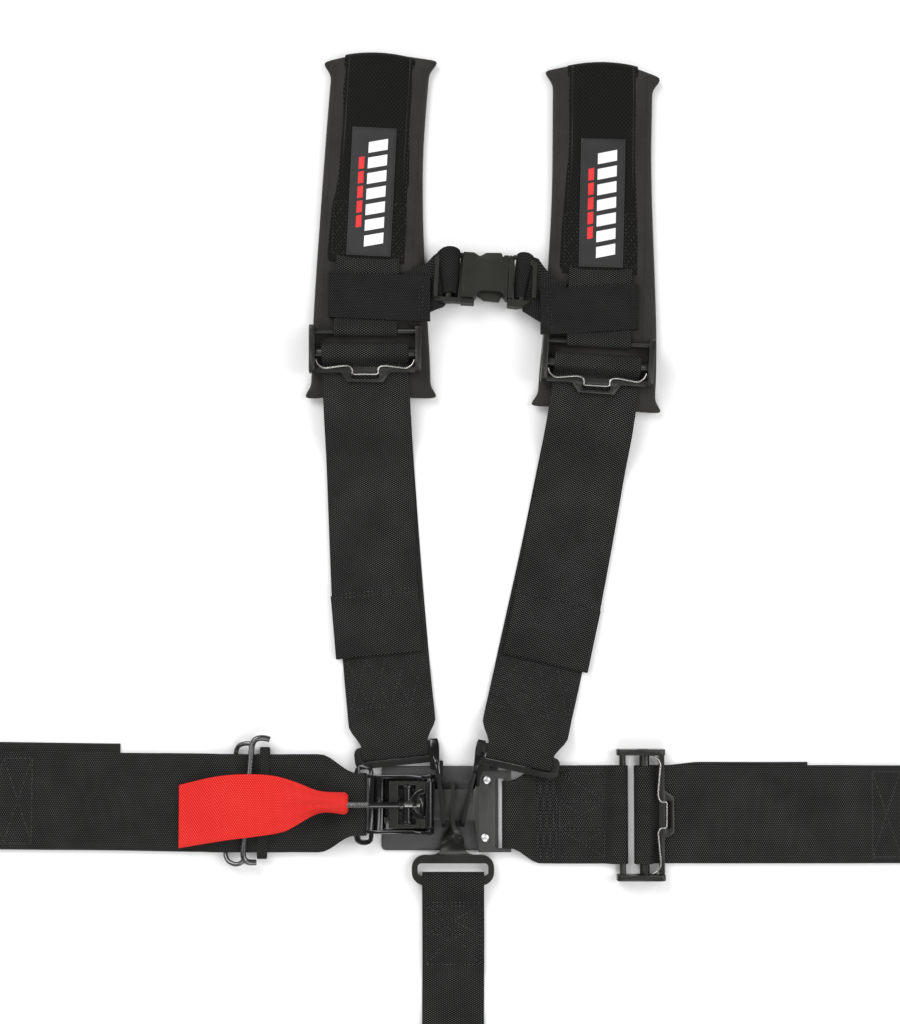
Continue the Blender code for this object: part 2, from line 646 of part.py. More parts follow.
def latch():
    """The latch: a channel with a strap loop, a hinged lever with its rod, and a leaf spring."""
    wall = 2.5
    low, high = LEG_LOW, 18.5
    y0, y1 = -22.0, 23.4
    frame = node("latch_frame", plate([rounded(-65, -14, y0, y1, 1.5, 1)], low, low + 2.4), "black_gloss")
    side = [(-66, low), (-14, low), (-14, high - 3), (-17, high), (-24, high), (-30, 15), (-54, 15),
            (-66, 12)]
    pin_hole = circle(LEVER_PIN, 2.6, 12)
    parts = [across([side, pin_hole], y0, y0 + wall), across([side, pin_hole], y1 - wall, y1)]
    loop = [rounded(LATCH_BAR_X - 2.5, -61, -31, 31, 6.0),
            rounded(LATCH_BAR_X + 2.5, -64.5, -27, 27.5, 1.5, 2)]
    parts.append(plate(loop, LATCH_BAR_Z - 1.5, LATCH_BAR_Z + 1.5))
    parts.append(across([circle((-56.0, 9.0), 4.2, 12)], y0 + 1, y1 - 1))
    guides = [node(f"latch_guide_{i}", bm, "black_gloss") for i, bm in enumerate(parts)]
    join(frame, *guides)

    pin = across([circle(LEVER_PIN, 2.3, 12)], y0 - 1.0, y1 + 1.0)
    node("lever_pin", pin, "black_gloss")
    pivot = (LEVER_PIN[0], 0.8, LEVER_PIN[1])
    notch = arc((-20.5, 0.8), 11.0, 90, 270, 8)
    lid = [(-48.5, -17.5), (-20.5, -17.5), (-20.5, -10.2), *reversed(notch), (-20.5, 11.8), (-20.5, 19),
           (-48.5, 19)]
    lever = node("latch_lever", plate([lid], 15.4, 17.9), "black_gloss", pivot=pivot)
    knuckle = [circle(LEVER_PIN, 4.0, 14), circle(LEVER_PIN, 2.6, 12)]
    knuckles = [across(knuckle, -17.4, -13.0), across(knuckle, 14.4, 18.9)]
    hook = across([[(-38.0, 16), (-34.0, 16), (-34.0, 9.0), (-37.4, 9.0)]], -4.5, 5.0)
    lever_guides = [node(f"lever_guide_{i}", bm, "black_gloss") for i, bm in enumerate([*knuckles, hook])]
    join(lever, *lever_guides)
    rod = upright([circle((0.8, 21.0), 2.7, 12)], -80.0, -37.0)
    node("lever_rod", rod, "steel", pivot=pivot)
    leaf = across([[(-31.5, 11.6), (-22.5, 11.6), (-22.5, 12.4), (-29.0, 12.4), (-31.5, 13.6)]], -8, 8)
    node("lever_leaf_spring", leaf, "steel")
    pull_tab(pivot)


def pull_tab(pivot):
    """The pull tab: narrow and folded round the rod's end, wide and flat at its free end."""
    end, neck = -213.0, -80.4
    half_widths = [(0.0, 24.4), (16.0, 24.6), (38.0, 24.5), (60.0, 23.6), (75.0, 21.6), (92.0, 16.2),
                   (106.0, 9.8), (114.0, 7.6), (126.0, 7.2), (neck - end, 6.6)]
    bm = bmesh.new()
    rings = []
    for along, half in half_widths:
        share = along / (neck - end)
        x = end + along
        middle = -9.4 + 11.0 * share
        z = 7.5 + 6.1 * eased(along, 0.0, 38.0) + 7.4 * eased(along, 66.0, 118.0)
        thick = 0.8 + 2.6 * eased(along, 88.0, 116.0)
        corners = ((-half, -thick), (half, -thick), (half, thick), (-half, thick))
        rings.append([bm.verts.new((x, middle + y, z + t)) for y, t in corners])
    for a, b in zip(rings, rings[1:]):
        for k in range(4):
            bm.faces.new((a[k - 1], a[k], b[k], b[k - 1]))
    bm.faces.new(rings[0])
    bm.faces.new(rings[-1])
    node("red_pull_tab", bm, "red_webbing", pivot=pivot)


# ---------------------------------------------------------------- lap and crotch straps

def anchor_turn(path, at, doubled=62.0):
    """Ends a strap in a sewn loop round an anchor's bar, with a doubled stretch below it."""
    radius = 3.8
    run(path, at - 12.0, FLOOR_LAYER + LAYER)
    run(path, at, ANCHOR_Z + radius)
    fold(path, (at, ANCHOR_Z), radius, 90, -90)
    run(path, at - 14.0, FLOOR_LAYER)
    run(path, at - doubled, FLOOR_LAYER)


def left_lap():
    """The left lap strap is doubled through the latch's loop, and a slide holds both layers."""
    start = (LATCH_BAR_X, 0.4)
    length, line = plan_line(start, 90.0, (-ANCHOR_X, 3.0), 90.0, 120.0, 120.0)
    lift = 3.0
    radius = 3.9
    slide = LATCH_BAR_X - SLIDER_X
    path = [(slide + 70.0, FLOOR_LAYER)]
    run(path, slide + 34.0, FLOOR_LAYER)
    run(path, slide + 24.0, FLOOR_LAYER + lift)
    run(path, slide - 24.0, FLOOR_LAYER + lift)
    run(path, slide - 34.0, FLOOR_LAYER + 1.0)
    run(path, 12.0, FLOOR_LAYER + 1.6)
    run(path, 0.0, LATCH_BAR_Z - radius)
    fold(path, (0.0, LATCH_BAR_Z), radius, -90, -270)
    run(path, 9.0, LATCH_BAR_Z + radius - 0.6)
    run(path, 30.0, FLOOR_LAYER + LAYER + 1.6)
    run(path, slide - 34.0, FLOOR_LAYER + LAYER + 1.2)
    run(path, slide - 24.0, FLOOR_LAYER + LAYER + lift)
    run(path, slide + 24.0, FLOOR_LAYER + LAYER + lift)
    run(path, slide + 36.0, FLOOR_LAYER + LAYER)
    run(path, length - 70.0, FLOOR_LAYER + LAYER)
    anchor_turn(path, length, 165.0)
    strap("left_lap_webbing", line, path, left_lap_width(length))
    lap_slide(line(slide)[0])
    here, _ = line(length)
    bracket("left_lap_anchor", turned(here, -90.0), ANCHOR_Z)


def left_lap_width(length):
    def width(s):
        near = 48.0 + (LAP_WIDTH - 48.0) * eased(s, 2.0, 30.0)
        return near - (LAP_WIDTH - 52.0) * eased(s, length - 24.0, length - 4.0)
    return width


def lap_slide(at):
    """A three-bar slide: two bars below the webbing, a rod above it, and a hooked end each side."""
    place = turned(at, 0.0)
    low, rod_z = 0.3, 9.6
    ends = []
    for sign, word in ((1, "upper"), (-1, "lower")):
        outline = [(-12, low), (12, low), (12, low + 3), (6, 7.0), (4.5, 12.0), (-2, 12.0), (-8, 7.0),
                   (-12, 4.0)]
        y0, y1 = sorted((sign * 39.8, sign * 45.5))
        ends.append(node(f"slide_guide_{word}", across([outline], y0, y1), "steel", place))
    frame = ends[0]
    rod = node("slide_guide_rod", across([circle((1.0, rod_z), 2.2, 12)], -42, 42), "steel", place)
    bars = [node(f"slide_guide_bar_{i}", across([rounded(x, x + 5, low, low + 2.2, 0.6, 1)], -42, 42),
                 "steel", place) for i, x in enumerate((-11.5, 6.0))]
    join(frame, ends[1], rod, *bars)
    frame.name = "left_lap_slide"


def right_lap():
    """The right lap strap: a short sewn loop on the tongue, then the adjuster and the long strap."""
    place = turned(LAP_ADJUSTER_AT, 90.0)
    bar_z = adjuster("right_lap_adjuster", place, LAP_ADJUSTER, 0.0)
    slide_bar("right_lap_slide_bar", place, LAP_ADJUSTER, bar_z)
    first, last = TONGUE_BAR_X, LAP_ADJUSTER_AT[0] - FIXED_BAR
    _, line = plan_line((first, LAP_ADJUSTER_AT[1]), -90.0, LAP_ADJUSTER_AT, -90.0, 30.0, 30.0)
    near, far = 3.9, FIXED_BAR_R + GAP + WEB / 2
    middle = (TONGUE_BASE_Z[0] + TONGUE_BASE_Z[1]) / 2
    reach = last - first
    path = [(46.0, 1.0)]
    run(path, 10.0, 1.1)
    run(path, 0.0, middle - near + 0.05)
    fold(path, (0.0, middle), near, -90, -270)
    run(path, 5.0, middle + near - 0.3)
    run(path, 24.0, 1.0 + LAYER)
    run(path, reach - 16.0, 1.0 + LAYER)
    run(path, reach - 5.0, 4.5 + far)
    run(path, reach, 4.5 + far)
    fold(path, (reach, 4.5), far, 90, -90)
    run(path, 48.0, 1.0)
    width = tapered(LAP_WIDTH, 48.0, 2.0, 26.0)
    strap("right_lap_loop", line, path, width)

    length, line = plan_line(LAP_ADJUSTER_AT, -90.0, (ANCHOR_X, LAP_ADJUSTER_AT[1]), -90.0, 60.0, 60.0)
    path = [(128.0, 1.0)]
    adjuster_wrap(path, 0.0, -1, 0.0)
    run(path, 128.0, 1.0 + LAYER)
    run(path, length - 76.0, FLOOR_LAYER + LAYER)
    anchor_turn(path, length)
    narrow = tapered(52.0, LAP_WIDTH, length - 24.0, length - 4.0)
    strap("right_lap_webbing", line, path, narrow)
    bracket("right_lap_anchor", turned((ANCHOR_X, LAP_ADJUSTER_AT[1]), 90.0), ANCHOR_Z)


def crotch():
    """The crotch strap hangs on its link's ring and is sewn back on itself."""
    start = (0.9, CROTCH_BAR[0])
    length, line = plan_line(start, 180.0, (0.9, CROTCH_ANCHOR_Y), 180.0, 60.0, 60.0)
    radius = 4.85
    path = [(66.0, FLOOR_LAYER)]
    run(path, 10.0, FLOOR_LAYER)
    run(path, 0.0, CROTCH_BAR[1] - radius)
    fold(path, (0.0, CROTCH_BAR[1]), radius, -90, -292, 14)
    run(path, 22.0, FLOOR_LAYER + LAYER)
    run(path, 66.0, FLOOR_LAYER + LAYER)
    run(path, 76.0, FLOOR_LAYER)
    run(path, length - 80.0, FLOOR_LAYER)
    run(path, length - 68.0, FLOOR_LAYER + LAYER)
    anchor_turn(path, length)
    strap("crotch_strap", line, path, CROTCH_WIDTH)
    bracket("crotch_anchor", turned((0.9, CROTCH_ANCHOR_Y), 0.0), ANCHOR_Z)


def build():
    clear_scene()
    backing_flap()
    tongue()
    rivets()
    crotch_link()
    latch()
    shoulder("left", LEFT_LINK_AT, LEFT_LINK_TURN, LEFT_RING_Z, LEFT_ADJUSTER, LEFT_ADJUSTER_TURN,
             LEFT_PAD_END, (lambda s: -43.5 + 4.0 * s / 240, lambda s: 52.0 - 12.0 * eased(s, -30, 180)))
    shoulder("right", RIGHT_LINK_AT, RIGHT_LINK_TURN, RIGHT_RING_Z, RIGHT_ADJUSTER,
             RIGHT_ADJUSTER_TURN, RIGHT_PAD_END,
             (lambda s: -46.0 + 5.5 * eased(s, -30, 160), lambda s: 49.0 - 8.0 * eased(s, -30, 180)))
    buckle_halves()
    buckle = turned(BUCKLE_AT, BUCKLE_TURN)
    for side, bar, far_at, heading, near in (("left", SOCKET_BAR, (-94.0, 398.0), -90.0, 77.0),
                                             ("right", PLUG_BAR, (143.0, 388.5), 90.0, 72.0)):
        spot = (buckle @ Vector((bar, 0, 0))).xy
        length, line = plan_line(far_at, heading, spot, heading + BUCKLE_TURN, 74.0, 24.0)
        chest_strap(side, line, length, near, BUCKLE_Z)
    left_lap()
    right_lap()
    crotch()


build()
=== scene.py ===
"""The looks of the racing harness: woven straps with their stitching, padded shoulder pads,
black hardware and the red pull tab, lit on a pale floor. Lengths are millimetres."""
import json
import math

import bmesh
import bpy
from mathutils import Matrix, Vector, noise
from mathutils.bvhtree import BVHTree

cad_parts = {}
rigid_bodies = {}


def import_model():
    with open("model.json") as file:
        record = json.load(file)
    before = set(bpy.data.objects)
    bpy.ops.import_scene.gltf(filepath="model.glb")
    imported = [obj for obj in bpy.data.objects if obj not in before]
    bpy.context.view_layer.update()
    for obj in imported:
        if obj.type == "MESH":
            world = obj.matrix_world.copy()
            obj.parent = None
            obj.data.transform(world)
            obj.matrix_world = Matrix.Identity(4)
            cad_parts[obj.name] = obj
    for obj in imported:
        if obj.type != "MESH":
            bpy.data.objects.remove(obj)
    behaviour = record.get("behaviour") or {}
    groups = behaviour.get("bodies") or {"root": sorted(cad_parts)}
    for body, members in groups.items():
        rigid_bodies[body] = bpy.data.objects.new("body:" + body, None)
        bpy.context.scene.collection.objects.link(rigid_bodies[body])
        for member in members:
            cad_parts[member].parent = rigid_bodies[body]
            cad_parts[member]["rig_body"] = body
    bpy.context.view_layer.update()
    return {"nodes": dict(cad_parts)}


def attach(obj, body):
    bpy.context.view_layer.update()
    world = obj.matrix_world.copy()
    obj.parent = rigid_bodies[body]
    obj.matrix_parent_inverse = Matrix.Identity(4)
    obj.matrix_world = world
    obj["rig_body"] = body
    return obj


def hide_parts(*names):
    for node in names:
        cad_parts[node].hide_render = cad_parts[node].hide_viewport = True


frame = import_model()
NODES = frame["nodes"]

MM = 0.001
WEB = 1.4
GAP = 0.3
LAYER = WEB + GAP
FLOOR_LAYER = 0.9
LAP_WIDTH, SHOULDER_WIDTH, UPPER_WIDTH, CHEST_WIDTH, CROTCH_WIDTH = 76.0, 68.0, 50.0, 36.0, 48.0
PAD_TOP = 12.0
LABEL_LEVEL = 15.7
PAD_SWELL_LIMIT = 1.5
DECK_LAYER = PAD_TOP + GAP + WEB / 2
FIXED_BAR, FIXED_BAR_R, SLIDE_R = 17.0, 2.5, 3.5
LINK_PLATE, RING_BAR_Y = 3.2, 46.5
LATCH_BAR_X, LATCH_BAR_Z = -73.5, 9.7
TONGUE_BAR_X, TONGUE_BAR_Z = 43.5, 5.0
CROTCH_BAR = (-58.8, 5.8)
CROTCH_ANCHOR_Y, ANCHOR_X, ANCHOR_Z = -235.0, 425.0, 4.8
SLIDER_X = -158.6
LAP_ADJUSTER_AT = (150.0, -8.0)
SHOULDERS = {
    "left": dict(link=((-8.0, 0.0), 6.0), ring=2.8, seat=((-67.9, 352.0), 0.0), top=(-57.0, 585.0)),
    "right": dict(link=((11.5, 0.0), -12.4), ring=9.6, seat=((113.8, 343.0), -3.5), top=(119.5, 577.5)),
}
BUCKLE_AT, BUCKLE_TURN, BUCKLE_Z = (25.9, 413.0), -3.5, 11.0
BUCKLE_TILT = -13.0
SOCKET_BAR, PLUG_BAR = -28.0, 29.6
LEVER_PLATE = (15.4, 17.9)
LEVER_PLATE_ENDS = (-17.5, 19.0)
ROD_Y, ROLLER_X, LEVER_RING_X = 0.8, -34.8, -20.5
TAB_HALF_WIDTH = 24.4


# ---------------------------------------------------------------- materials

class Graph:
    """Adds nodes to a tree and joins them."""

    def __init__(self, tree):
        self.tree = tree

    def add(self, kind, **settings):
        made = self.tree.nodes.new(kind)
        for key, value in settings.items():
            setattr(made, key, value)
        return made

    def join(self, source, target):
        self.tree.links.new(source, target)

    def maths(self, operation, first, second=None, clamp=False):
        made = self.add("ShaderNodeMath", operation=operation, use_clamp=clamp)
        for socket, value in zip(made.inputs, (first, second)):
            if value is None:
                continue
            if isinstance(value, (int, float)):
                socket.default_value = value
            else:
                self.join(value, socket)
        return made.outputs[0]

    def ramp(self, value, low, high, start, end):
        made = self.add("ShaderNodeMapRange", clamp=True)
        self.join(value, made.inputs["Value"])
        made.inputs["From Min"].default_value = low
        made.inputs["From Max"].default_value = high
        made.inputs["To Min"].default_value = start
        made.inputs["To Max"].default_value = end
        return made.outputs["Result"]

    def blend(self, share, first, second):
        made = self.add("ShaderNodeMix", data_type="RGBA")
        self.join(share, made.inputs["Factor"])
        for socket, value in ((made.inputs["A"], first), (made.inputs["B"], second)):
            if isinstance(value, tuple):
                socket.default_value = (*value, 1.0)
            else:
                self.join(value, socket)
        return made.outputs["Result"]

    def noise(self, vector, scale, detail=3.0, roughness=0.55):
        made = self.add("ShaderNodeTexNoise")
        made.inputs["Scale"].default_value = scale
        made.inputs["Detail"].default_value = detail
        made.inputs["Roughness"].default_value = roughness
        if vector is not None:
            self.join(vector, made.inputs["Vector"])
        return made.outputs["Fac"]


def new_group(name, inputs, outputs):
    """An empty shader node group with named sockets, as a graph with its inputs and outputs."""
    tree = bpy.data.node_groups.new(name, "ShaderNodeTree")
    for label, kind, value in inputs:
        socket = tree.interface.new_socket(label, in_out="INPUT", socket_type=kind)
        if value is not None:
            socket.default_value = value
    for label, kind in outputs:
        tree.interface.new_socket(label, in_out="OUTPUT", socket_type=kind)
    graph = Graph(tree)
    return graph, graph.add("NodeGroupInput").outputs, graph.add("NodeGroupOutput").inputs


def weave_group():
    """Crossing threads: warp along V, weft along U, in metres."""
    graph, given, out = new_group(
        "weave", [("Vector", "NodeSocketVector", None), ("Warp Pitch", "NodeSocketFloat", 0.0015),
                  ("Weft Pitch", "NodeSocketFloat", 0.0015)],
        [("Height", "NodeSocketFloat"), ("Thread", "NodeSocketFloat"), ("Fuzz", "NodeSocketFloat")])
    parts = graph.add("ShaderNodeSeparateXYZ")
    graph.join(given["Vector"], parts.inputs[0])
    u = graph.maths("DIVIDE", parts.outputs["X"], given["Warp Pitch"])
    v = graph.maths("DIVIDE", parts.outputs["Y"], given["Weft Pitch"])
    wave_u = graph.maths("SINE", graph.maths("MULTIPLY", u, math.tau))
    wave_v = graph.maths("SINE", graph.maths("MULTIPLY", v, math.tau))
    cross = graph.maths("MULTIPLY", wave_u, wave_v)
    rib = graph.maths("ABSOLUTE", graph.maths("SINE", graph.maths("MULTIPLY", u, math.tau)))
    cross = graph.maths("MULTIPLY_ADD", cross, 0.5)
    cross.node.inputs[2].default_value = 0.5
    height = graph.maths("ADD", graph.maths("MULTIPLY", cross, 0.7), graph.maths("MULTIPLY", rib, 0.3))
    graph.join(height, out["Height"])
    # Thread is 1 on the raised threads and 0 in the sunken gaps; the cloths use it to paint shade into the
    # gaps.
    graph.join(graph.ramp(cross, 0.52, 0.95, 0.0, 1.0), out["Thread"])
    graph.join(graph.noise(given["Vector"], 900.0, 2.0), out["Fuzz"])


def grain_group():
    """Small uneven patches of colour and height for moulded, plated and foamed surfaces."""
    graph, given, out = new_group(
        "grain", [("Scale", "NodeSocketFloat", 400.0)],
        [("Fine", "NodeSocketFloat"), ("Broad", "NodeSocketFloat")])
    place = graph.add("ShaderNodeTexCoord").outputs["Object"]
    fine = graph.add("ShaderNodeTexNoise")
    graph.join(place, fine.inputs["Vector"])
    graph.join(given["Scale"], fine.inputs["Scale"])
    fine.inputs["Detail"].default_value = 4.0
    graph.join(fine.outputs["Fac"], out["Fine"])
    graph.join(graph.noise(place, 45.0), out["Broad"])


def use_group(graph, name, **values):
    """Places a node group in a material with its own values, and returns its outputs."""
    made = graph.add("ShaderNodeGroup")
    made.node_tree = bpy.data.node_groups[name]
    for key, value in values.items():
        socket = made.inputs[key.replace("_", " ")]
        if isinstance(value, (int, float)):
            socket.default_value = value
        else:
            graph.join(value, socket)
    return made.outputs


def shader_of(name, **sockets):
    """A new material with numbers set on its shader's own sockets."""
    material = bpy.data.materials.new(name)
    material.use_nodes = True
    graph = Graph(material.node_tree)
    shader = material.node_tree.nodes["Principled BSDF"]
    for key, value in sockets.items():
        shader.inputs[key.replace("_", " ")].default_value = value
    return material, graph, shader


def bump(graph, shader, height, strength, distance):
    """Lets a height tilt the surface."""
    made = graph.add("ShaderNodeBump")
    made.inputs["Strength"].default_value = strength
    made.inputs["Distance"].default_value = distance
    graph.join(height, made.inputs["Height"])
    graph.join(made.outputs["Normal"], shader.inputs["Normal"])


def woven(name, dark, light, warp, weft, rough=(0.5, 0.72), sheen=0.0, depth=0.0003):
    """Cloth: dark gaps and lighter threads, the gaps' darkness being painted shade where the weave sinks,
    with the threads' spacings in metres.
    """
    material, graph, shader = shader_of(name, Sheen_Weight=sheen, Sheen_Roughness=0.4,
                                        Specular_IOR_Level=0.06)
    uv = graph.add("ShaderNodeUVMap", uv_map="cloth").outputs["UV"]
    threads = use_group(graph, "weave", Vector=uv, Warp_Pitch=warp, Weft_Pitch=weft)
    broad = graph.noise(uv, 30.0)
    # Painted shade in the weave's sunken gaps, times broad random patches of uneven wear on the threads.
    gap_shade_and_wear = graph.maths("MULTIPLY", threads["Thread"], graph.ramp(broad, 0.3, 0.7, 0.65, 1.0))
    graph.join(graph.blend(gap_shade_and_wear, dark, light), shader.inputs["Base Color"])
    graph.join(graph.ramp(threads["Thread"], 0.0, 1.0, rough[1], rough[0]), shader.inputs["Roughness"])
    height = graph.maths("ADD", threads["Height"], graph.maths("MULTIPLY", threads["Fuzz"], 0.35))
    bump(graph, shader, height, 0.8, depth)
    return material


def grained(name, dark, light, rough, scale=400.0, metallic=0.0, depth=0.00004, coat=0.0, sheen=0.0,
            shine=0.5):
    """Metal, plastic, rubber or foam with an uneven colour and a fine grain."""
    material, graph, shader = shader_of(name, Metallic=metallic, Coat_Weight=coat, Coat_Roughness=0.08,
                                        Sheen_Weight=sheen, Specular_IOR_Level=shine)
    grain = use_group(graph, "grain", Scale=scale)
    graph.join(graph.blend(graph.ramp(grain["Broad"], 0.3, 0.7, 0.0, 1.0), dark, light),
               shader.inputs["Base Color"])
    graph.join(graph.ramp(grain["Fine"], 0.3, 0.7, *rough), shader.inputs["Roughness"])
    bump(graph, shader, grain["Fine"], 0.5, depth)
    return material


# Each cloth has its gaps' colour, which is painted shade, its threads' colour and the spacing across and
# along.
CLOTHS = {
    "black_webbing": dict(dark=(0.0015, 0.0015, 0.0015), light=(0.105, 0.107, 0.103),
                          warp=0.0029, weft=0.0017),
    "chest_webbing": dict(dark=(0.003, 0.003, 0.003), light=(0.062, 0.063, 0.061),
                          warp=0.0024, weft=0.0016),
    "cover_fabric": dict(dark=(0.006, 0.006, 0.0055), light=(0.018, 0.018, 0.017),
                         warp=0.0029, weft=0.0036, rough=(0.45, 0.7), sheen=0.02, depth=0.0002),
    "red_webbing": dict(dark=(0.56, 0.010, 0.008), light=(1.0, 0.12, 0.10),
                        warp=0.0027, weft=0.00175, rough=(0.5, 0.7)),
}
# Each solid finish has its darkest and lightest colour and its smoothest and roughest patches.
FINISHES = {
    "neoprene": dict(dark=(0.009, 0.008, 0.006), light=(0.018, 0.016, 0.013), rough=(0.8, 0.95),
                     scale=1800.0, depth=0.00012, sheen=0.1),
    "label_patch": dict(dark=(0.008, 0.008, 0.009), light=(0.014, 0.014, 0.015), rough=(0.5, 0.7),
                        scale=2500.0),
    "label_white": dict(dark=(0.72, 0.72, 0.72), light=(0.85, 0.85, 0.85), rough=(0.5, 0.65),
                        scale=2500.0),
    "label_red": dict(dark=(0.60, 0.012, 0.014), light=(0.72, 0.02, 0.02), rough=(0.5, 0.65),
                      scale=2500.0),
    "thread": dict(dark=(0.006, 0.006, 0.007), light=(0.016, 0.016, 0.018), rough=(0.45, 0.6),
                   scale=3000.0),
    "link_steel": dict(dark=(0.012, 0.012, 0.0115), light=(0.020, 0.020, 0.019), rough=(0.30, 0.42),
                       scale=900.0, metallic=0.4, shine=0.25),
    "tongue_steel": dict(dark=(0.040, 0.040, 0.039), light=(0.060, 0.060, 0.058), rough=(0.34, 0.46),
                         scale=900.0, metallic=0.4, shine=0.4),
    "black_gloss_steel": dict(dark=(0.006, 0.006, 0.007), light=(0.012, 0.012, 0.013),
                              rough=(0.12, 0.22), scale=500.0, metallic=0.35, coat=1.0),
    "black_oxide": dict(dark=(0.012, 0.012, 0.010), light=(0.022, 0.022, 0.019), rough=(0.28, 0.42),
                        scale=900.0, metallic=0.4, coat=0.15),
    "gun_metal": dict(dark=(0.10, 0.10, 0.105), light=(0.17, 0.17, 0.17), rough=(0.22, 0.34),
                      scale=900.0, metallic=0.9, coat=0.2),
    "spring_wire": dict(dark=(0.36, 0.35, 0.33), light=(0.50, 0.49, 0.46), rough=(0.2, 0.32),
                        scale=900.0, metallic=0.9),
    "spring_steel": dict(dark=(0.20, 0.20, 0.19), light=(0.34, 0.34, 0.33), rough=(0.2, 0.34),
                         scale=1200.0, metallic=1.0),
    "rivet_aluminium": dict(dark=(0.62, 0.62, 0.63), light=(0.80, 0.80, 0.81), rough=(0.25, 0.42),
                            scale=1500.0, metallic=1.0),
    "buckle_plastic": dict(dark=(0.015, 0.0155, 0.012), light=(0.021, 0.021, 0.017),
                           rough=(0.38, 0.5), scale=2600.0, shine=0.2),
    "flap_rubber": dict(dark=(0.036, 0.036, 0.037), light=(0.047, 0.047, 0.048), rough=(0.45, 0.6),
                        scale=1500.0),
    "floor": dict(dark=(0.83, 0.83, 0.83), light=(0.84, 0.84, 0.84), rough=(0.85, 0.9), scale=300.0,
                  depth=0.000005),
}


def make_materials():
    """Every material of the harness, by name."""
    weave_group()
    grain_group()
    made = {name: woven(name, **facts) for name, facts in CLOTHS.items()}
    made.update({name: grained(name, **facts) for name, facts in FINISHES.items()})
    return made


MATERIALS = make_materials()


# ---------------------------------------------------------------- making pieces

def finish_piece(name, bm, material, body, replaces=(), smooth=True, scale=True):
    """Makes a bmesh an object of the scene, and says which body it rides and what it stands for."""
    if scale:
        bmesh.ops.scale(bm, vec=(MM, MM, MM), verts=bm.verts)
    mesh = bpy.data.meshes.new(name)
    bm.to_mesh(mesh)
    bm.free()
    if smooth:
        mesh.shade_smooth()
    made = bpy.data.objects.new(name, mesh)
    made.data.materials.append(MATERIALS[material])
    bpy.context.scene.collection.objects.link(made)
    return settle(made, body, replaces)


def settle(made, body, replaces=()):
    """Says which body a piece rides and hides the nodes it stands for."""
    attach(made, body)
    if replaces:
        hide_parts(*replaces)
    return made


def modify(made, kind, **settings):
    """Adds a modifier with its settings."""
    modifier = made.modifiers.new(kind.lower(), kind)
    for key, value in settings.items():
        setattr(modifier, key, value)
    return modifier


def soften(made, width, segments=2, degrees=60, **settings):
    """Rounds the edges that are sharper than an angle."""
    modify(made, "BEVEL", width=width * MM, segments=segments, limit_method="ANGLE",
           angle_limit=math.radians(degrees), **settings)


def refined(node, material, bevel):
    """Takes a CAD piece's own shape, merges it and rounds its edges."""
    cad = NODES[node]
    bm = bmesh.new()
    bm.from_mesh(cad.data)
    bmesh.ops.remove_doubles(bm, verts=bm.verts, dist=2e-6)
    bmesh.ops.dissolve_limit(bm, angle_limit=math.radians(1.5), verts=bm.verts, edges=bm.edges)
    made = finish_piece(f"{node}_shell", bm, material, cad["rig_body"], (node,), scale=False)
    soften(made, bevel, 3, 28, profile=0.5, harden_normals=True, use_clamp_overlap=True)


def eased(value, start, end):
    """A smooth step from 0 at the start to 1 at the end."""
    share = min(max((value - start) / (end - start), 0.0), 1.0)
    return share * share * (3 - 2 * share)


def arc(centre, radius, start, end, steps):
    """Points along an arc between two angles in degrees."""
    angles = [math.radians(start + (end - start) * i / steps) for i in range(steps + 1)]
    return [(centre[0] + radius * math.cos(a), centre[1] + radius * math.sin(a)) for a in angles]


def turned(at, degrees):
    """A place on the plan, turned on it."""
    return Matrix.Translation((at[0], at[1], 0.0)) @ Matrix.Rotation(math.radians(degrees), 4, "Z")


def plan_line(start, start_heading, end, end_heading, pull_start, pull_end, steps=120):
    """A smooth line on the floor plan, as its length and a function of the distance along it."""
    def heading(degrees):
        return Vector((-math.sin(math.radians(degrees)), math.cos(math.radians(degrees))))

    first, last = Vector(start), Vector(end)
    second = first + heading(start_heading) * pull_start
    third = last - heading(end_heading) * pull_end
    points = []
    for i in range(steps + 1):
        t = i / steps
        points.append(first * (1 - t) ** 3 + second * 3 * t * (1 - t) ** 2
                      + third * 3 * t * t * (1 - t) + last * t ** 3)
    lengths = [0.0]
    for a, b in zip(points, points[1:]):
        lengths.append(lengths[-1] + (b - a).length)

    def at(distance):
        i = 0
        while i < steps - 1 and lengths[i + 1] < distance:
            i += 1
        along = (points[i + 1] - points[i]).normalized()
        return points[i] + along * (distance - lengths[i]), Vector((along.y, -along.x))

    return lengths[-1], at


def run(path, s, z, step=5.0):
    """Takes a strap's side view on to a distance and a height, by an eased slope."""
    s0, z0 = path[-1]
    pieces = max(1, math.ceil(abs(s - s0) / step))
    for i in range(1, pieces + 1):
        share = i / pieces
        path.append((s0 + (s - s0) * share, z0 + (z - z0) * eased(share, 0.0, 1.0)))


def fold(path, centre, radius, start, end, steps=14):
    """Takes a strap's side view round a bar."""
    path.extend(arc(centre, radius, start, end, steps))


def cloth_grid(columns, rows):
    """A flat unit grid with a cloth map to fill in."""
    bm = bmesh.new()
    bmesh.ops.create_grid(bm, x_segments=columns, y_segments=rows, size=0.5)
    return bm, bm.loops.layers.uv.new("cloth")


def map_cloth(bm, cloth, places):
    """Gives each vertex its place on the cloth, across and along, in metres."""
    for face in bm.faces:
        for loop in face.loops:
            across, along = places[loop.vert]
            loop[cloth].uv = (across * MM, along * MM)


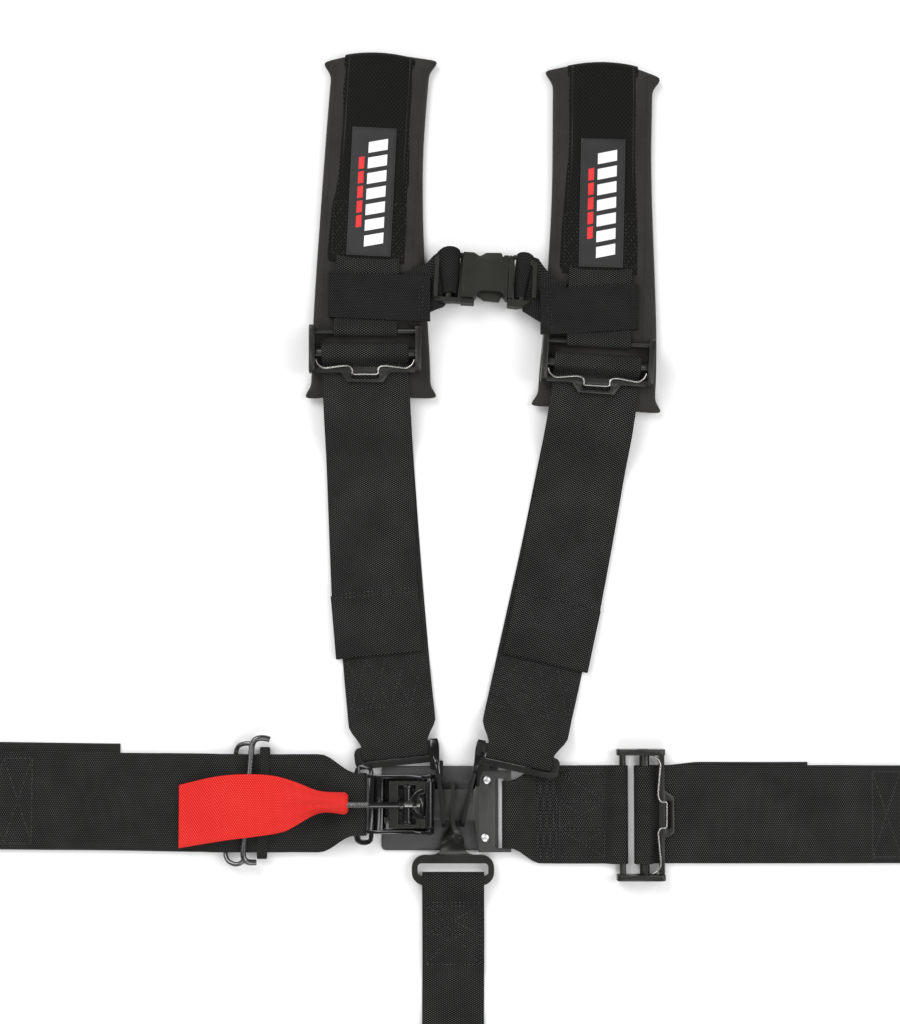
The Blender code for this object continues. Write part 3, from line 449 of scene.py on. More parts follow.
def webbing(name, line, path, width, body, replaces, material="black_webbing", side=None, thick=WEB,
            columns=12, first=None):
    """A woven strap laid along a line; its cloth map is in metres, across and along.

    side moves it sideways by the stretch already laid, the distance on the line and the height;
    first is a stretch that is laid along another line, with that line.
    """
    tidy = [path[0]]
    for point in path[1:]:
        if math.dist(point, tidy[-1]) > 0.25:
            tidy.append(point)
    rows = len(tidy) - 1
    laid = [0.0]
    for a, b in zip(tidy, tidy[1:]):
        laid.append(laid[-1] + math.dist(a, b))
    bm, cloth = cloth_grid(columns, rows)
    places = {}
    for vert in bm.verts:
        column, row = round((vert.co.x + 0.5) * columns), round((vert.co.y + 0.5) * rows)
        s, z = tidy[row]
        full = width(s) if callable(width) else width
        across = (column / columns - 0.5) * full
        here, sideways = first[1](s) if first and laid[row] < first[0] else line(s)
        shift = side(laid[row], s, z) if side else 0.0
        wave = 0.5 * noise.noise(Vector((s * 0.012, column * 0.05, len(name)))) * eased(full, 20, 60)
        spot = here + sideways * (across + shift + wave)
        places[vert] = (across, laid[row])
        vert.co = (spot.x, spot.y, z + 0.15 * noise.noise(Vector((s * 0.03, column * 0.4, 3.0))))
    map_cloth(bm, cloth, places)
    made = finish_piece(name, bm, material, body, replaces)
    modify(made, "SOLIDIFY", thickness=thick * MM, offset=0.0, use_even_offset=True)
    soften(made, 0.4, harden_normals=True)
    return made


def surface_of(piece):
    """A tree of the piece's shown faces, for laying stitches on them."""
    shown = bpy.context.evaluated_depsgraph_get()
    finished = piece.evaluated_get(shown)
    mesh = finished.to_mesh()
    verts = [piece.matrix_world @ v.co for v in mesh.vertices]
    faces = [list(p.vertices) for p in mesh.polygons]
    finished.to_mesh_clear()
    return BVHTree.FromPolygons(verts, faces)


def stitches(name, tree, lines, body, pitch, length, radius):
    """Threads laid along lines of plan points, each dropped onto the cloth below it."""
    bm = bmesh.new()
    for points in lines:
        for a, b in zip(points, points[1:]):
            a, b = Vector(a).to_2d(), Vector(b).to_2d()
            count = max(1, round((b - a).length / pitch))
            for i in range(count):
                spot = a + (b - a) * ((i + 0.5) / count)
                hit, normal = tree.ray_cast(Vector((*spot, 100.0)) * MM, Vector((0, 0, -1)))[:2]
                if hit is None:
                    continue
                normal = normal if normal.z > 0 else -normal
                along = Vector((*(b - a).normalized(), 0.0))
                along = (along - normal * along.dot(normal)).normalized()
                across = normal.cross(along)
                basis = Matrix((along * length / 2, across * radius, normal * radius))
                basis = basis.transposed().to_4x4()
                basis.translation = hit / MM + normal * radius * 0.25
                bmesh.ops.create_icosphere(bm, subdivisions=1, radius=1.0, matrix=basis)
    finish_piece(name, bm, "thread", body, ())


def box_lines(place, x0, x1, y0, y1, crosses):
    """The lines of a sewn box with crosses in it."""
    lines = [[(x0, y0), (x1, y0), (x1, y1), (x0, y1), (x0, y0)]]
    for i in range(crosses):
        a, b = x0 + (x1 - x0) * i / crosses, x0 + (x1 - x0) * (i + 1) / crosses
        lines += [[(a, y0), (b, y1)], [(a, y1), (b, y0)]]
    return [[(place @ Vector((x, y, 0))).xy for x, y in line] for line in lines]


def along_line(line, across, start, end):
    """Plan points that follow a strap's line at a distance from its middle."""
    count = max(1, round(abs(end - start) / 8.0))
    points = []
    for i in range(count + 1):
        here, sideways = line(start + (end - start) * i / count)
        points.append(here + sideways * across)
    return points


def stroke(line, s, across, end_s, end_across):
    """A straight line of stitches between two places on a strap."""
    p, sideways = line(s)
    q, end_sideways = line(end_s)
    return [p + sideways * across, q + end_sideways * end_across]


# ---------------------------------------------------------------- straps' side views

def wrap_slide_bar(path, at, toward, base):
    """Takes a strap once round an adjuster's slide bar."""
    low = base + 1.0
    radius = SLIDE_R + GAP + WEB / 2
    run(path, at + toward * 3.1, low)
    fold(path, (at + toward * 3.1, low + radius), radius, -90, -90 + toward * 180)
    run(path, at - toward * 2.5, low + 2 * radius)
    run(path, at - toward * 9.5, low + LAYER, 1.0)


def anchor_turn(path, at, doubled=62.0):
    """Takes a strap round its anchor bracket and back beneath itself."""
    radius = 3.8
    run(path, at - 12.0, FLOOR_LAYER + LAYER)
    run(path, at, ANCHOR_Z + radius, 2.0)
    fold(path, (at, ANCHOR_Z), radius, 90, -90)
    run(path, at - 14.0, FLOOR_LAYER, 2.0)
    run(path, at - doubled, FLOOR_LAYER)


def shoulder_webbing(side, facts):
    """The long strap from the link's ring to the adjuster and back, with its hanging tail."""
    place = turned(*facts["link"])
    start = (place @ Vector((32.0 if side == "right" else -32.0, RING_BAR_Y, 0))).xy
    seat, seat_turn = facts["seat"]
    length, line = plan_line(start, facts["link"][1], seat, seat_turn, 110.0, 60.0)
    middle = facts["ring"] + LINK_PLATE / 2
    radius = LINK_PLATE / 2 + GAP + WEB / 2
    low = max(middle - radius, FLOOR_LAYER)
    path = [(58.0, FLOOR_LAYER)]
    run(path, 24.0, FLOOR_LAYER)
    run(path, 5.0, low)
    run(path, -4.6, low)
    fold(path, (-4.6, middle), radius, -90, -270)
    run(path, 6.0, middle + radius)
    run(path, 38.0, FLOOR_LAYER + LAYER)
    run(path, 58.0, FLOOR_LAYER + LAYER)
    run(path, 66.0, FLOOR_LAYER)
    run(path, length - 88.0, FLOOR_LAYER)
    run(path, length - 45.0, DECK_LAYER)
    wrap_slide_bar(path, length, 1, PAD_TOP)
    run(path, length - 45.0, DECK_LAYER + LAYER)
    run(path, length - 88.0, FLOOR_LAYER + LAYER)
    hem = max(length - 246.0, 75.0)
    run(path, hem + 62.0, FLOOR_LAYER + LAYER)
    run(path, hem + 50.0, FLOOR_LAYER + 2 * LAYER)
    run(path, hem, FLOOR_LAYER + 2 * LAYER)
    fold(path, (hem, FLOOR_LAYER + 1.5 * LAYER), LAYER / 2, 90, 270, 8)
    run(path, hem + 48.0, FLOOR_LAYER + LAYER)
    body = f"{side}_shoulder"
    drift = -5.0 if side == "left" else 4.0

    def width(s):
        return 51.5 + (SHOULDER_WIDTH - 51.5) * eased(s, 3.0, 21.0)

    def tail(laid, s, z):
        return drift * eased(laid, 1.5 * length, 2.1 * length)

    made = webbing(f"{side}_shoulder_belt", line, path, width, body, (f"{side}_shoulder_webbing",),
                   side=tail)
    tree = surface_of(made)
    half = SHOULDER_WIDTH / 2 - 3.0
    rows = [along_line(line, k * half, 33.0, 71.0) for k in (-1, 1)]
    for k in range(4):
        a, b = -half + k * half / 2, -half + (k + 1) * half / 2
        rows += [stroke(line, 33.0, a, 71.0, b), stroke(line, 71.0, a, 33.0, b)]
    rows += [stroke(line, s, -half, s, half) for s in (33.0, 71.0)]
    stitches(f"{side}_shoulder_box_stitches", tree, rows, body, 3.4, 2.6, 0.5)
    hems = [stroke(line, s, -half - 5.0, s, half + 1.0) for s in (hem + 46.0, hem + 49.0)]
    stitches(f"{side}_tail_hem_stitches", tree, hems, body, 3.6, 2.8, 0.45)


def upper_strap(side, facts):
    """The strap from the adjuster's fixed bar, through the pad and round its end."""
    seat, seat_turn = facts["seat"]
    up = Vector(facts["top"]) - Vector(seat)
    lean = math.degrees(math.atan2(-up.x, up.y))
    length, line = plan_line(seat, seat_turn, facts["top"], lean + (lean - seat_turn) * 0.3, 60.0, 90.0)
    bracket_bar = 110.0
    radius = FIXED_BAR_R + GAP + WEB / 2
    path = [(70.0, DECK_LAYER + LAYER)]
    run(path, 26.0, DECK_LAYER + LAYER)
    run(path, 20.0, DECK_LAYER)
    run(path, FIXED_BAR, DECK_LAYER)
    fold(path, (FIXED_BAR, DECK_LAYER + radius), radius, -90, -270)
    run(path, 19.0, DECK_LAYER + 2 * radius)
    run(path, 26.0, DECK_LAYER + 2 * LAYER, 1.0)
    run(path, 71.0, DECK_LAYER + 2 * LAYER)
    run(path, 78.0, DECK_LAYER)
    run(path, length - 2.0, DECK_LAYER)
    turn = (DECK_LAYER - FLOOR_LAYER) / 2
    fold(path, (length - 2.0, FLOOR_LAYER + turn), turn, 90, -90)
    run(path, bracket_bar - 2.2, FLOOR_LAYER)
    fold(path, (bracket_bar - 2.2, FLOOR_LAYER + 2.25), 2.25, -90, -270)
    run(path, bracket_bar + 7.0, FLOOR_LAYER + 4.2)
    run(path, bracket_bar + 14.0, FLOOR_LAYER + LAYER)
    run(path, bracket_bar + 44.0, FLOOR_LAYER + LAYER)
    webbing(f"{side}_upper_belt", line, path, UPPER_WIDTH, f"{side}_shoulder",
            (f"{side}_shoulder_upper_strap",))
    return length, line, lean


# ---------------------------------------------------------------- pads

def pad_roof(share):
    """The height of the pad's skin, from 0 at its middle to 1 at either side."""
    return 12.4 - 5.2 * share ** 3.2


def divided_block(*cuts):
    """A unit block with so many cuts across each of its sides."""
    bm = bmesh.new()
    bmesh.ops.create_cube(bm, size=1.0)
    for axis, count in enumerate(cuts):
        runs = [e for e in bm.edges if abs((e.verts[0].co - e.verts[1].co)[axis]) > 0.9]
        bmesh.ops.subdivide_edges(bm, edges=runs, cuts=count, use_grid_fill=True)
    return bm


def shoulder_pad(side, length, line, lean):
    """The neoprene pad, cut with pointed corners and blown up inside its skin."""
    body = f"{side}_shoulder"
    ears = {"left": (-1.0, 5.5), "right": (1.5, -3.0)}[side]

    def edges(s):
        if side == "left":
            return -43.5 + 4.0 * s / 240, 52.0 - 12.0 * eased(s, -30, 180)
        return -46.0 + 5.5 * eased(s, -30, 160), 49.0 - 8.0 * eased(s, -30, 180)

    start = -35.0
    bm = divided_block(23, 71, 3)
    for vert in bm.verts:
        share, along, up = vert.co.x * 2, vert.co.y + 0.5, vert.co.z + 0.5
        tip = ears[1] if share > 0 else ears[0]
        end = length + 7.0 + (tip - 7.0) * abs(share) ** 2.2
        s = start + (end - start) * along
        x0, x1 = edges(s)
        x = x0 + (x1 - x0) * (share + 1) / 2
        side_share = abs(share)
        nose = 6.5 * eased(along, 0.955, 1.0) + 5.0 * (1 - eased(along, 0.0, 0.04))
        x += math.copysign(nose * side_share ** 8, share)
        thin = 1 - 0.62 * (eased(along, 0.965, 1.0) + 1 - eased(along, 0.0, 0.03)) * side_share ** 3
        roof = pad_roof(side_share) - 4.2 * eased(s, length - 2.0, length + 7.0)
        ground = 0.8 + 6.2 * (1 - eased(abs(x), 33.0, 37.5))
        ground *= 1 - eased(s, length - 4, length + 4) * 0.6
        z = ground + (roof - ground) * up
        z = 5.0 + (z - 5.0) * thin
        x -= math.copysign(1.6 * side_share ** 6 * (2 * abs(up - 0.5)) ** 3, share)
        here, sideways = line(s)
        spot = here + sideways * x
        vert.co = (spot.x, spot.y, z)
    bmesh.ops.recalc_face_normals(bm, faces=bm.faces)
    made = finish_piece(f"{side}_pad_foam", bm, "neoprene", body, (f"{side}_shoulder_pad",))
    swell(made)
    cover(side, length, line, body)
    tree = surface_of(made)
    lines = [along_line(line, k * 34.8, -4.0 if k > 0 else 0.0, length - 2.0) for k in (-1, 1)]
    stitches(f"{side}_pad_edge_stitches", tree, lines, body, 4.0, 3.0, 0.35)
    label(side, line, lean, body)


def swell(made):
    """Blows the foam up inside its skin, and keeps every point near where it started."""
    rest = [v.co.copy() for v in made.data.vertices]
    cloth = modify(made, "CLOTH")
    cloth.settings.use_pressure = True
    cloth.settings.uniform_pressure_force = 4.0
    cloth.settings.effector_weights.gravity = 0.0
    cloth.settings.tension_stiffness = 20.0
    cloth.settings.bending_stiffness = 2.0
    cloth.point_cache.frame_end = 20
    scene = bpy.context.scene
    for step in range(1, 17):
        scene.frame_set(step)
    shown = bpy.context.evaluated_depsgraph_get()
    blown = bpy.data.meshes.new_from_object(made.evaluated_get(shown))
    made.modifiers.clear()
    cap = PAD_SWELL_LIMIT * MM
    for vert, was in zip(blown.vertices, rest):
        move = vert.co - was
        vert.co = was + move * min(1.0, cap / max(move.length, 1e-9))
        vert.co.z = max(vert.co.z, 0.3 * MM)
    made.data = blown
    scene.frame_set(1)
    made.data.shade_smooth()
    modify(made, "SMOOTH", factor=0.5, iterations=2)
    modify(made, "SUBSURF", levels=1, render_levels=1)


def cover(side, length, line, body):
    """The ribbed cover sewn down both sides over the strap, and folded over the pad's end."""
    rows, columns = 84, 32
    start, end = 72.0, length + 8.2
    bm, cloth = cloth_grid(columns, rows)
    places = {}
    for vert in bm.verts:
        share = vert.co.x * 2
        s = start + (end - start) * (1 - (0.5 - vert.co.y) ** 1.25)
        half = 28.0 + 4.4 * (1 - eased(s, 72.0, 170.0))
        x = share * half
        z = pad_roof(abs(x) / 41.0) + 1.0 + 1.9 * eased(half - abs(x), 0.0, 7.0)
        z += 0.2 * noise.noise(Vector((x * 0.05, s * 0.035, 5.0)))
        past = min(max((s - (length - 1.0)) / (end - length + 1.2), 0.0), 1.0)
        z = 5.0 + (z - 5.0) * math.sqrt(1 - past * past)
        arch = 3.2 * share * share * eased(s, end - 40.0, end)
        here, sideways = line(s - arch)
        spot = here + sideways * x
        places[vert] = (x, s)
        vert.co = (spot.x, spot.y, z)
    map_cloth(bm, cloth, places)
    made = finish_piece(f"{side}_cover_cloth", bm, "cover_fabric", body, (f"{side}_pad_cover",))
    modify(made, "SOLIDIFY", thickness=0.9 * MM, offset=-1.0)
    soften(made, 0.3)
    tree = surface_of(made)
    boxes = []
    for sign in (-1, 1):
        for a, b in ((18.5, 28.5), (28.5, 18.5)):
            boxes += [stroke(line, s, sign * a, s + 14.0, sign * b) for s in (78.0, 92.0, 106.0)]
        boxes += [along_line(line, sign * k, 78.0, 120.0) for k in (18.5, 28.8)]
        boxes += [stroke(line, s, sign * 18.5, s, sign * 28.8) for s in (78.0, 120.0)]
    stitches(f"{side}_cover_box_stitches", tree, boxes, body, 3.2, 2.5, 0.4)
    edges = [along_line(line, k * 26.6, 124.0, length - 1.0) for k in (-1, 1)]
    stitches(f"{side}_cover_edge_stitches", tree, edges, body, 3.4, 2.6, 0.35)


def slanted_bars(name, place, count, x, first_y, pitch, width, height, material, body):
    """A column of plain slanted bars on a label."""
    bm = bmesh.new()
    for i in range(count):
        bar_at = place @ Matrix.Translation((x, first_y + i * pitch, LABEL_LEVEL + 0.72))
        for vert in bmesh.ops.create_cube(bm, size=1.0)["verts"]:
            across, along = vert.co.x * width, vert.co.y * height
            vert.co = bar_at @ Vector((across, along + across * 0.22, vert.co.z * 0.16))
    finish_piece(name, bm, material, body, (), smooth=False)


def label(side, line, lean, body):
    """A woven patch with a plain block of slanted bars and a thin stripe, and its border stitches."""
    place = turned(line(128.0)[0], lean)
    bm = bmesh.new()
    bmesh.ops.create_grid(bm, x_segments=10, y_segments=30, size=0.5)
    for vert in bm.verts:
        x, y = vert.co.x * 35.0, vert.co.y * 102.0
        z = LABEL_LEVEL + 0.1 * noise.noise(Vector((x * 0.1, y * 0.05, 1.0)))
        vert.co = place @ Vector((x, y, z))
    made = finish_piece(f"{side}_label_cloth", bm, "label_patch", body, (f"{side}_pad_label",))
    modify(made, "SOLIDIFY", thickness=0.6 * MM, offset=1.0)
    soften(made, 0.2)
    slanted_bars(f"{side}_label_bars", place, 7, 3.5, -38.0, 12.4, 15.0, 8.6, "label_white", body)
    slanted_bars(f"{side}_label_stripe", place, 5, -9.0, -24.0, 11.6, 4.4, 9.4, "label_red", body)
    border = box_lines(place, -16.2, 16.2, -49.6, 49.6, 0)
    stitches(f"{side}_label_stitches", surface_of(made), border, body, 2.6, 2.0, 0.3)


# ---------------------------------------------------------------- chest, lap and crotch

def chest_strap(side):
    """The band round the shoulder strap, sewn down, and its under layer up to the buckle's bar."""
    left = side == "left"
    away = 1 if left else -1
    bar_x, near, big = (SOCKET_BAR, 77.0, 7.2) if left else (PLUG_BAR, 74.0, 5.4)
    far_at = (-94.0, 398.0) if left else (143.0, 388.5)
    heading = -90.0 * away
    slope = -3.2 if left else -4.0
    spot = (turned(BUCKLE_AT, BUCKLE_TURN) @ Vector((bar_x, 0, 0))).xy
    length, line = plan_line(far_at, heading, spot, heading + BUCKLE_TURN, 74.0, 24.0)
    band = plan_line(far_at, heading + slope * away * 0.4, Vector(far_at) + Vector((near * away, slope)),
                     heading, 20.0, 20.0)[1]
    low, high = DECK_LAYER, DECK_LAYER + 3 * LAYER
    turn = (high - low) / 2
    path = [(near, high)]
    run(path, 0.0, high)
    fold(path, (0.0, low + turn), turn, 90, 270)
    run(path, length - 24.0, low)
    run(path, length - 6.0, BUCKLE_Z - big, 1.5)
    fold(path, (length, BUCKLE_Z), big, -110, 160)
    run(path, length - big - 2.0, low + LAYER + 0.3, 1.5)
    run(path, length - 34.0, low + LAYER)

    def off_line(laid, s, z):
        if laid < near:
            return 0.0
        tilt = 0.5 * (z - BUCKLE_Z) * eased(s, length - 14.0, length - 6.0)
        dip = 7.0 * eased(s, 30.0, 66.0) * (1 - eased(s, length - 16.0, length - 2.0))
        return (dip - tilt) * away

    body = f"{side}_shoulder"
    made = webbing(f"{side}_chest_belt", line, path, CHEST_WIDTH, body, (f"{side}_chest_strap",),
                   "chest_webbing", side=off_line, columns=8, first=(near, band))
    rows = [stroke(band, s, -16.5, s, 16.5) for s in (near - 6.0, near - 8.5)]
    stitches(f"{side}_chest_stitches", surface_of(made), rows, body, 3.0, 2.3, 0.4)


def left_lap():
    """The strap from the latch's loop, doubled through the wire slide, to its anchor bracket."""
    length, line = plan_line((LATCH_BAR_X, 0.4), 90.0, (-ANCHOR_X, 3.0), 90.0, 120.0, 120.0)
    lift, radius, slide = 3.0, 3.9, LATCH_BAR_X - SLIDER_X
    path = [(slide + 70.0, FLOOR_LAYER)]
    run(path, slide + 34.0, FLOOR_LAYER)
    run(path, slide + 24.0, FLOOR_LAYER + lift)
    run(path, slide - 24.0, FLOOR_LAYER + lift)
    run(path, slide - 34.0, FLOOR_LAYER + 1.0)
    run(path, 12.0, FLOOR_LAYER + 1.6)
    run(path, -2.6, LATCH_BAR_Z - radius, 2.0)
    fold(path, (-2.6, LATCH_BAR_Z), radius, -90, -270)
    run(path, 9.0, LATCH_BAR_Z + radius - 0.6)
    run(path, 30.0, FLOOR_LAYER + LAYER + 1.6)
    run(path, slide - 34.0, FLOOR_LAYER + LAYER + 1.2)
    run(path, slide - 24.0, FLOOR_LAYER + LAYER + lift)
    run(path, slide + 24.0, FLOOR_LAYER + LAYER + lift)
    run(path, slide + 36.0, FLOOR_LAYER + LAYER)
    run(path, length - 70.0, FLOOR_LAYER + LAYER)
    anchor_turn(path, length, 165.0)

    def width(s):
        near = 48.0 + (LAP_WIDTH - 48.0) * eased(s, 2.0, 30.0)
        return near - (LAP_WIDTH - 52.0) * eased(s, length - 24.0, length - 4.0)

    whole = sum(math.dist(a, b) for a, b in zip(path, path[1:]))

    def under(laid, s, z):
        return 7.0 * eased(laid, whole - 150.0, whole - 105.0)

    made = webbing("left_lap_belt", line, path, width, "left_lap", ("left_lap_webbing",), side=under,
                   columns=14)
    lines = box_lines(turned((-350.0, 2.6), 0.0), -22, 22, -33, 33, 2)
    stitches("left_lap_end_stitches", surface_of(made), lines, "left_lap", 3.6, 2.8, 0.5)


def right_lap():
    """The short sewn loop from the tongue to the adjuster, and the long strap to its bracket."""
    first, last = TONGUE_BAR_X, LAP_ADJUSTER_AT[0] - FIXED_BAR
    line = plan_line((first, LAP_ADJUSTER_AT[1]), -90.0, LAP_ADJUSTER_AT, -90.0, 30.0, 30.0)[1]
    near, far = 3.9, FIXED_BAR_R + GAP + WEB / 2
    reach = last - first
    path = [(46.0, 1.0)]
    run(path, 10.0, 1.1)
    run(path, 0.0, TONGUE_BAR_Z - near + 0.05, 2.0)
    fold(path, (0.0, TONGUE_BAR_Z), near, -90, -270)
    run(path, 4.0, TONGUE_BAR_Z + near - 0.3)
    run(path, 24.0, 1.0 + LAYER)
    run(path, reach - 16.0, 1.0 + LAYER)
    run(path, reach - 5.0, 4.5 + far, 1.5)
    run(path, reach, 4.5 + far)
    fold(path, (reach, 4.5), far, 90, -90)
    run(path, 48.0, 1.0)

    def width(s):
        return 52.0 + (LAP_WIDTH - 52.0) * eased(s, 2.0, 25.0)

    made = webbing("right_lap_loop_belt", line, path, width, "right_lap", ("right_lap_loop",),
                   columns=14)
    tree = surface_of(made)
    middle = LAP_ADJUSTER_AT[1]
    crosses = []
    for k in range(3):
        y0 = middle - 33.0 + 22.0 * k
        crosses += box_lines(turned((0, 0), 0), 84.0, 119.0, y0, y0 + 21.0, 1)
    stitches("right_lap_cross_stitches", tree, crosses, "right_lap", 3.2, 2.5, 0.5)
    columns = [[(66.5 + 2.5 * k, middle - 34.0), (66.5 + 2.5 * k, middle + 34.0)] for k in range(7)]
    stitches("right_lap_bar_stitches", tree, columns, "right_lap", 2.6, 2.0, 0.45)

    length, line = plan_line(LAP_ADJUSTER_AT, -90.0, (ANCHOR_X, middle), -90.0, 60.0, 60.0)
    path = [(128.0, 1.0)]
    run(path, 8.0, 1.0)
    wrap_slide_bar(path, 0.0, -1, 0.0)
    run(path, 128.0, 1.0 + LAYER)
    run(path, length - 76.0, FLOOR_LAYER + LAYER)
    anchor_turn(path, length)

    def narrow(s):
        return LAP_WIDTH - (LAP_WIDTH - 52.0) * eased(s, length - 24.0, length - 4.0)

    def under(laid, s, z):
        return -2.4 * (1 - eased(laid, 84.0, 112.0))

    made = webbing("right_lap_belt", line, path, narrow, "right_lap", ("right_lap_webbing",), side=under,
                   columns=14)
    lines = box_lines(turned((350.0, middle), 0.0), -22, 22, -33, 33, 2)
    stitches("right_lap_end_stitches", surface_of(made), lines, "right_lap", 3.6, 2.8, 0.5)


def crotch():
    """The strap from the lowest link's ring, sewn back on itself, to its anchor bracket."""
    middle = 0.9
    length, line = plan_line((middle, CROTCH_BAR[0]), 180.0, (middle, CROTCH_ANCHOR_Y), 180.0, 60.0, 60.0)
    radius = 4.85
    path = [(66.0, FLOOR_LAYER)]
    run(path, 10.0, FLOOR_LAYER)
    run(path, -1.0, CROTCH_BAR[1] - radius, 2.0)
    fold(path, (-1.0, CROTCH_BAR[1]), radius, -90, -292)
    run(path, 22.0, FLOOR_LAYER + LAYER, 2.0)
    run(path, 66.0, FLOOR_LAYER + LAYER)
    run(path, 76.0, FLOOR_LAYER)
    run(path, length - 80.0, FLOOR_LAYER)
    run(path, length - 68.0, FLOOR_LAYER + LAYER)
    anchor_turn(path, length)
    made = webbing("crotch_belt", line, path, CROTCH_WIDTH, "crotch", ("crotch_strap",))
    lines = box_lines(turned((middle, 0.0), 0.0), -21, 21, -124.0, -76.0, 1)
    lines += box_lines(turned((middle, 0.0), 0.0), -21, 21, -101.0, -79.0, 1)
    stitches("crotch_box_stitches", surface_of(made), lines, "crotch", 3.4, 2.6, 0.5)


# ---------------------------------------------------------------- hardware

def follow(points, x):
    """The height at x of a smooth edge through a few points, in order of x."""
    i = max(k for k in range(len(points) - 1) if points[k][0] <= x or k == 0)
    (x0, y0), (x1, y1) = points[i], points[i + 1]
    before = points[i - 1] if i else points[i]
    after = points[i + 2] if i + 2 < len(points) else points[i + 1]
    slope0 = (y1 - before[1]) / (x1 - before[0])
    slope1 = (after[1] - y0) / (after[0] - x0)
    t, wide = min(max((x - x0) / (x1 - x0), 0.0), 1.0), x1 - x0
    return (y0 * (1 + 2 * t) * (1 - t) ** 2 + slope0 * wide * t * (1 - t) ** 2
            + y1 * t * t * (3 - 2 * t) + slope1 * wide * t * t * (t - 1))


def pull_tab():
    """Red webbing rolled round the rod at its narrow end and left flat and wide at the other."""
    upper = [(-213.5, 14.9), (-183.7, 22.0), (-161.7, 23.9), (-138.9, 22.8), (-120.9, 18.1),
             (-106.8, 12.2), (-98.0, 10.4), (-82.0, 10.0)]
    lower = [(-212.0, -33.8), (-175.0, -27.1), (-152.3, -24.3), (-130.7, -20.4), (-118.5, -14.1),
             (-106.8, -6.9), (-98.0, -4.6), (-82.0, -6.2)]
    end, neck = -212.6, -80.6
    rows, columns = 96, 24
    bm, cloth = cloth_grid(columns, rows)
    places = {}
    for vert in bm.verts:
        across, along = vert.co.x * 2, (neck - end) * (vert.co.y + 0.5)
        x = end + along
        top, low = follow(upper, x), follow(lower, x)
        rounding = 2.4 * eased(x, neck - 3.0, neck) ** 2
        y = (top + low) / 2 + across * ((top - low) / 2 - rounding)
        z = 7.9 + 6.1 * eased(along, 0.0, 38.0) + 7.4 * eased(along, 66.0, 118.0)
        roll = eased(along, 84.0, 112.0)
        z += roll * (4.6 * math.sqrt(max(0.0, 1.02 - across * across)) - 3.0)
        fold_y = across * 9.0 + 0.6 * math.sin(along * 0.05)
        z += 0.55 * math.sin(fold_y) * eased(along, 60.0, 96.0) * (1 - eased(along, 108.0, 122.0))
        z += 0.5 * noise.noise(Vector((x * 0.03, y * 0.03, 8.0))) * eased(along, 4.0, 30.0)
        z -= 2.0 * eased(x, neck - 2.6, neck) ** 2
        places[vert] = (across * TAB_HALF_WIDTH, along)
        vert.co = (x, y, z)
    map_cloth(bm, cloth, places)
    made = finish_piece("red_tab_cloth", bm, "red_webbing", "latch_lever", ("red_pull_tab",))
    modify(made, "SOLIDIFY", thickness=1.6 * MM, offset=0.0)
    soften(made, 0.5)


def block(bm, x, y, z, place=Matrix()):
    """Adds a box between three pairs of limits."""
    size = [b - a for a, b in (x, y, z)]
    middle = [(a + b) / 2 for a, b in (x, y, z)]
    bmesh.ops.create_cube(bm, size=1.0,
                          matrix=place @ Matrix.Translation(middle) @ Matrix.Diagonal((*size, 1)))


def bar(bm, start, end, radius, sides=28):
    """Adds a round bar between two points."""
    start, end = Vector(start), Vector(end)
    turn = (end - start).to_track_quat("Z", "Y").to_matrix().to_4x4()
    bmesh.ops.create_cone(bm, cap_ends=True, segments=sides, radius1=radius, radius2=radius,
                          depth=(end - start).length, matrix=Matrix.Translation((start + end) / 2) @ turn)


def slab(bm, outline, low, high, place=Matrix()):
    """Adds a plate of an outline on the plan, between two heights."""
    verts = [bm.verts.new(place @ Vector((x, y, low))) for x, y in outline]
    face = bm.faces.new(verts)
    grown = bmesh.ops.extrude_face_region(bm, geom=[face])["geom"]
    for vert in grown:
        if isinstance(vert, bmesh.types.BMVert):
            vert.co += place.to_3x3() @ Vector((0, 0, high - low))


def rounded_piece(name, bm, material, body, replaces=(), width=0.7):
    """A piece of hardware with its normals put right and its edges rounded."""
    bmesh.ops.recalc_face_normals(bm, faces=bm.faces)
    made = finish_piece(name, bm, material, body, replaces)
    soften(made, width, 3, 38, harden_normals=True, use_clamp_overlap=True)
    return made


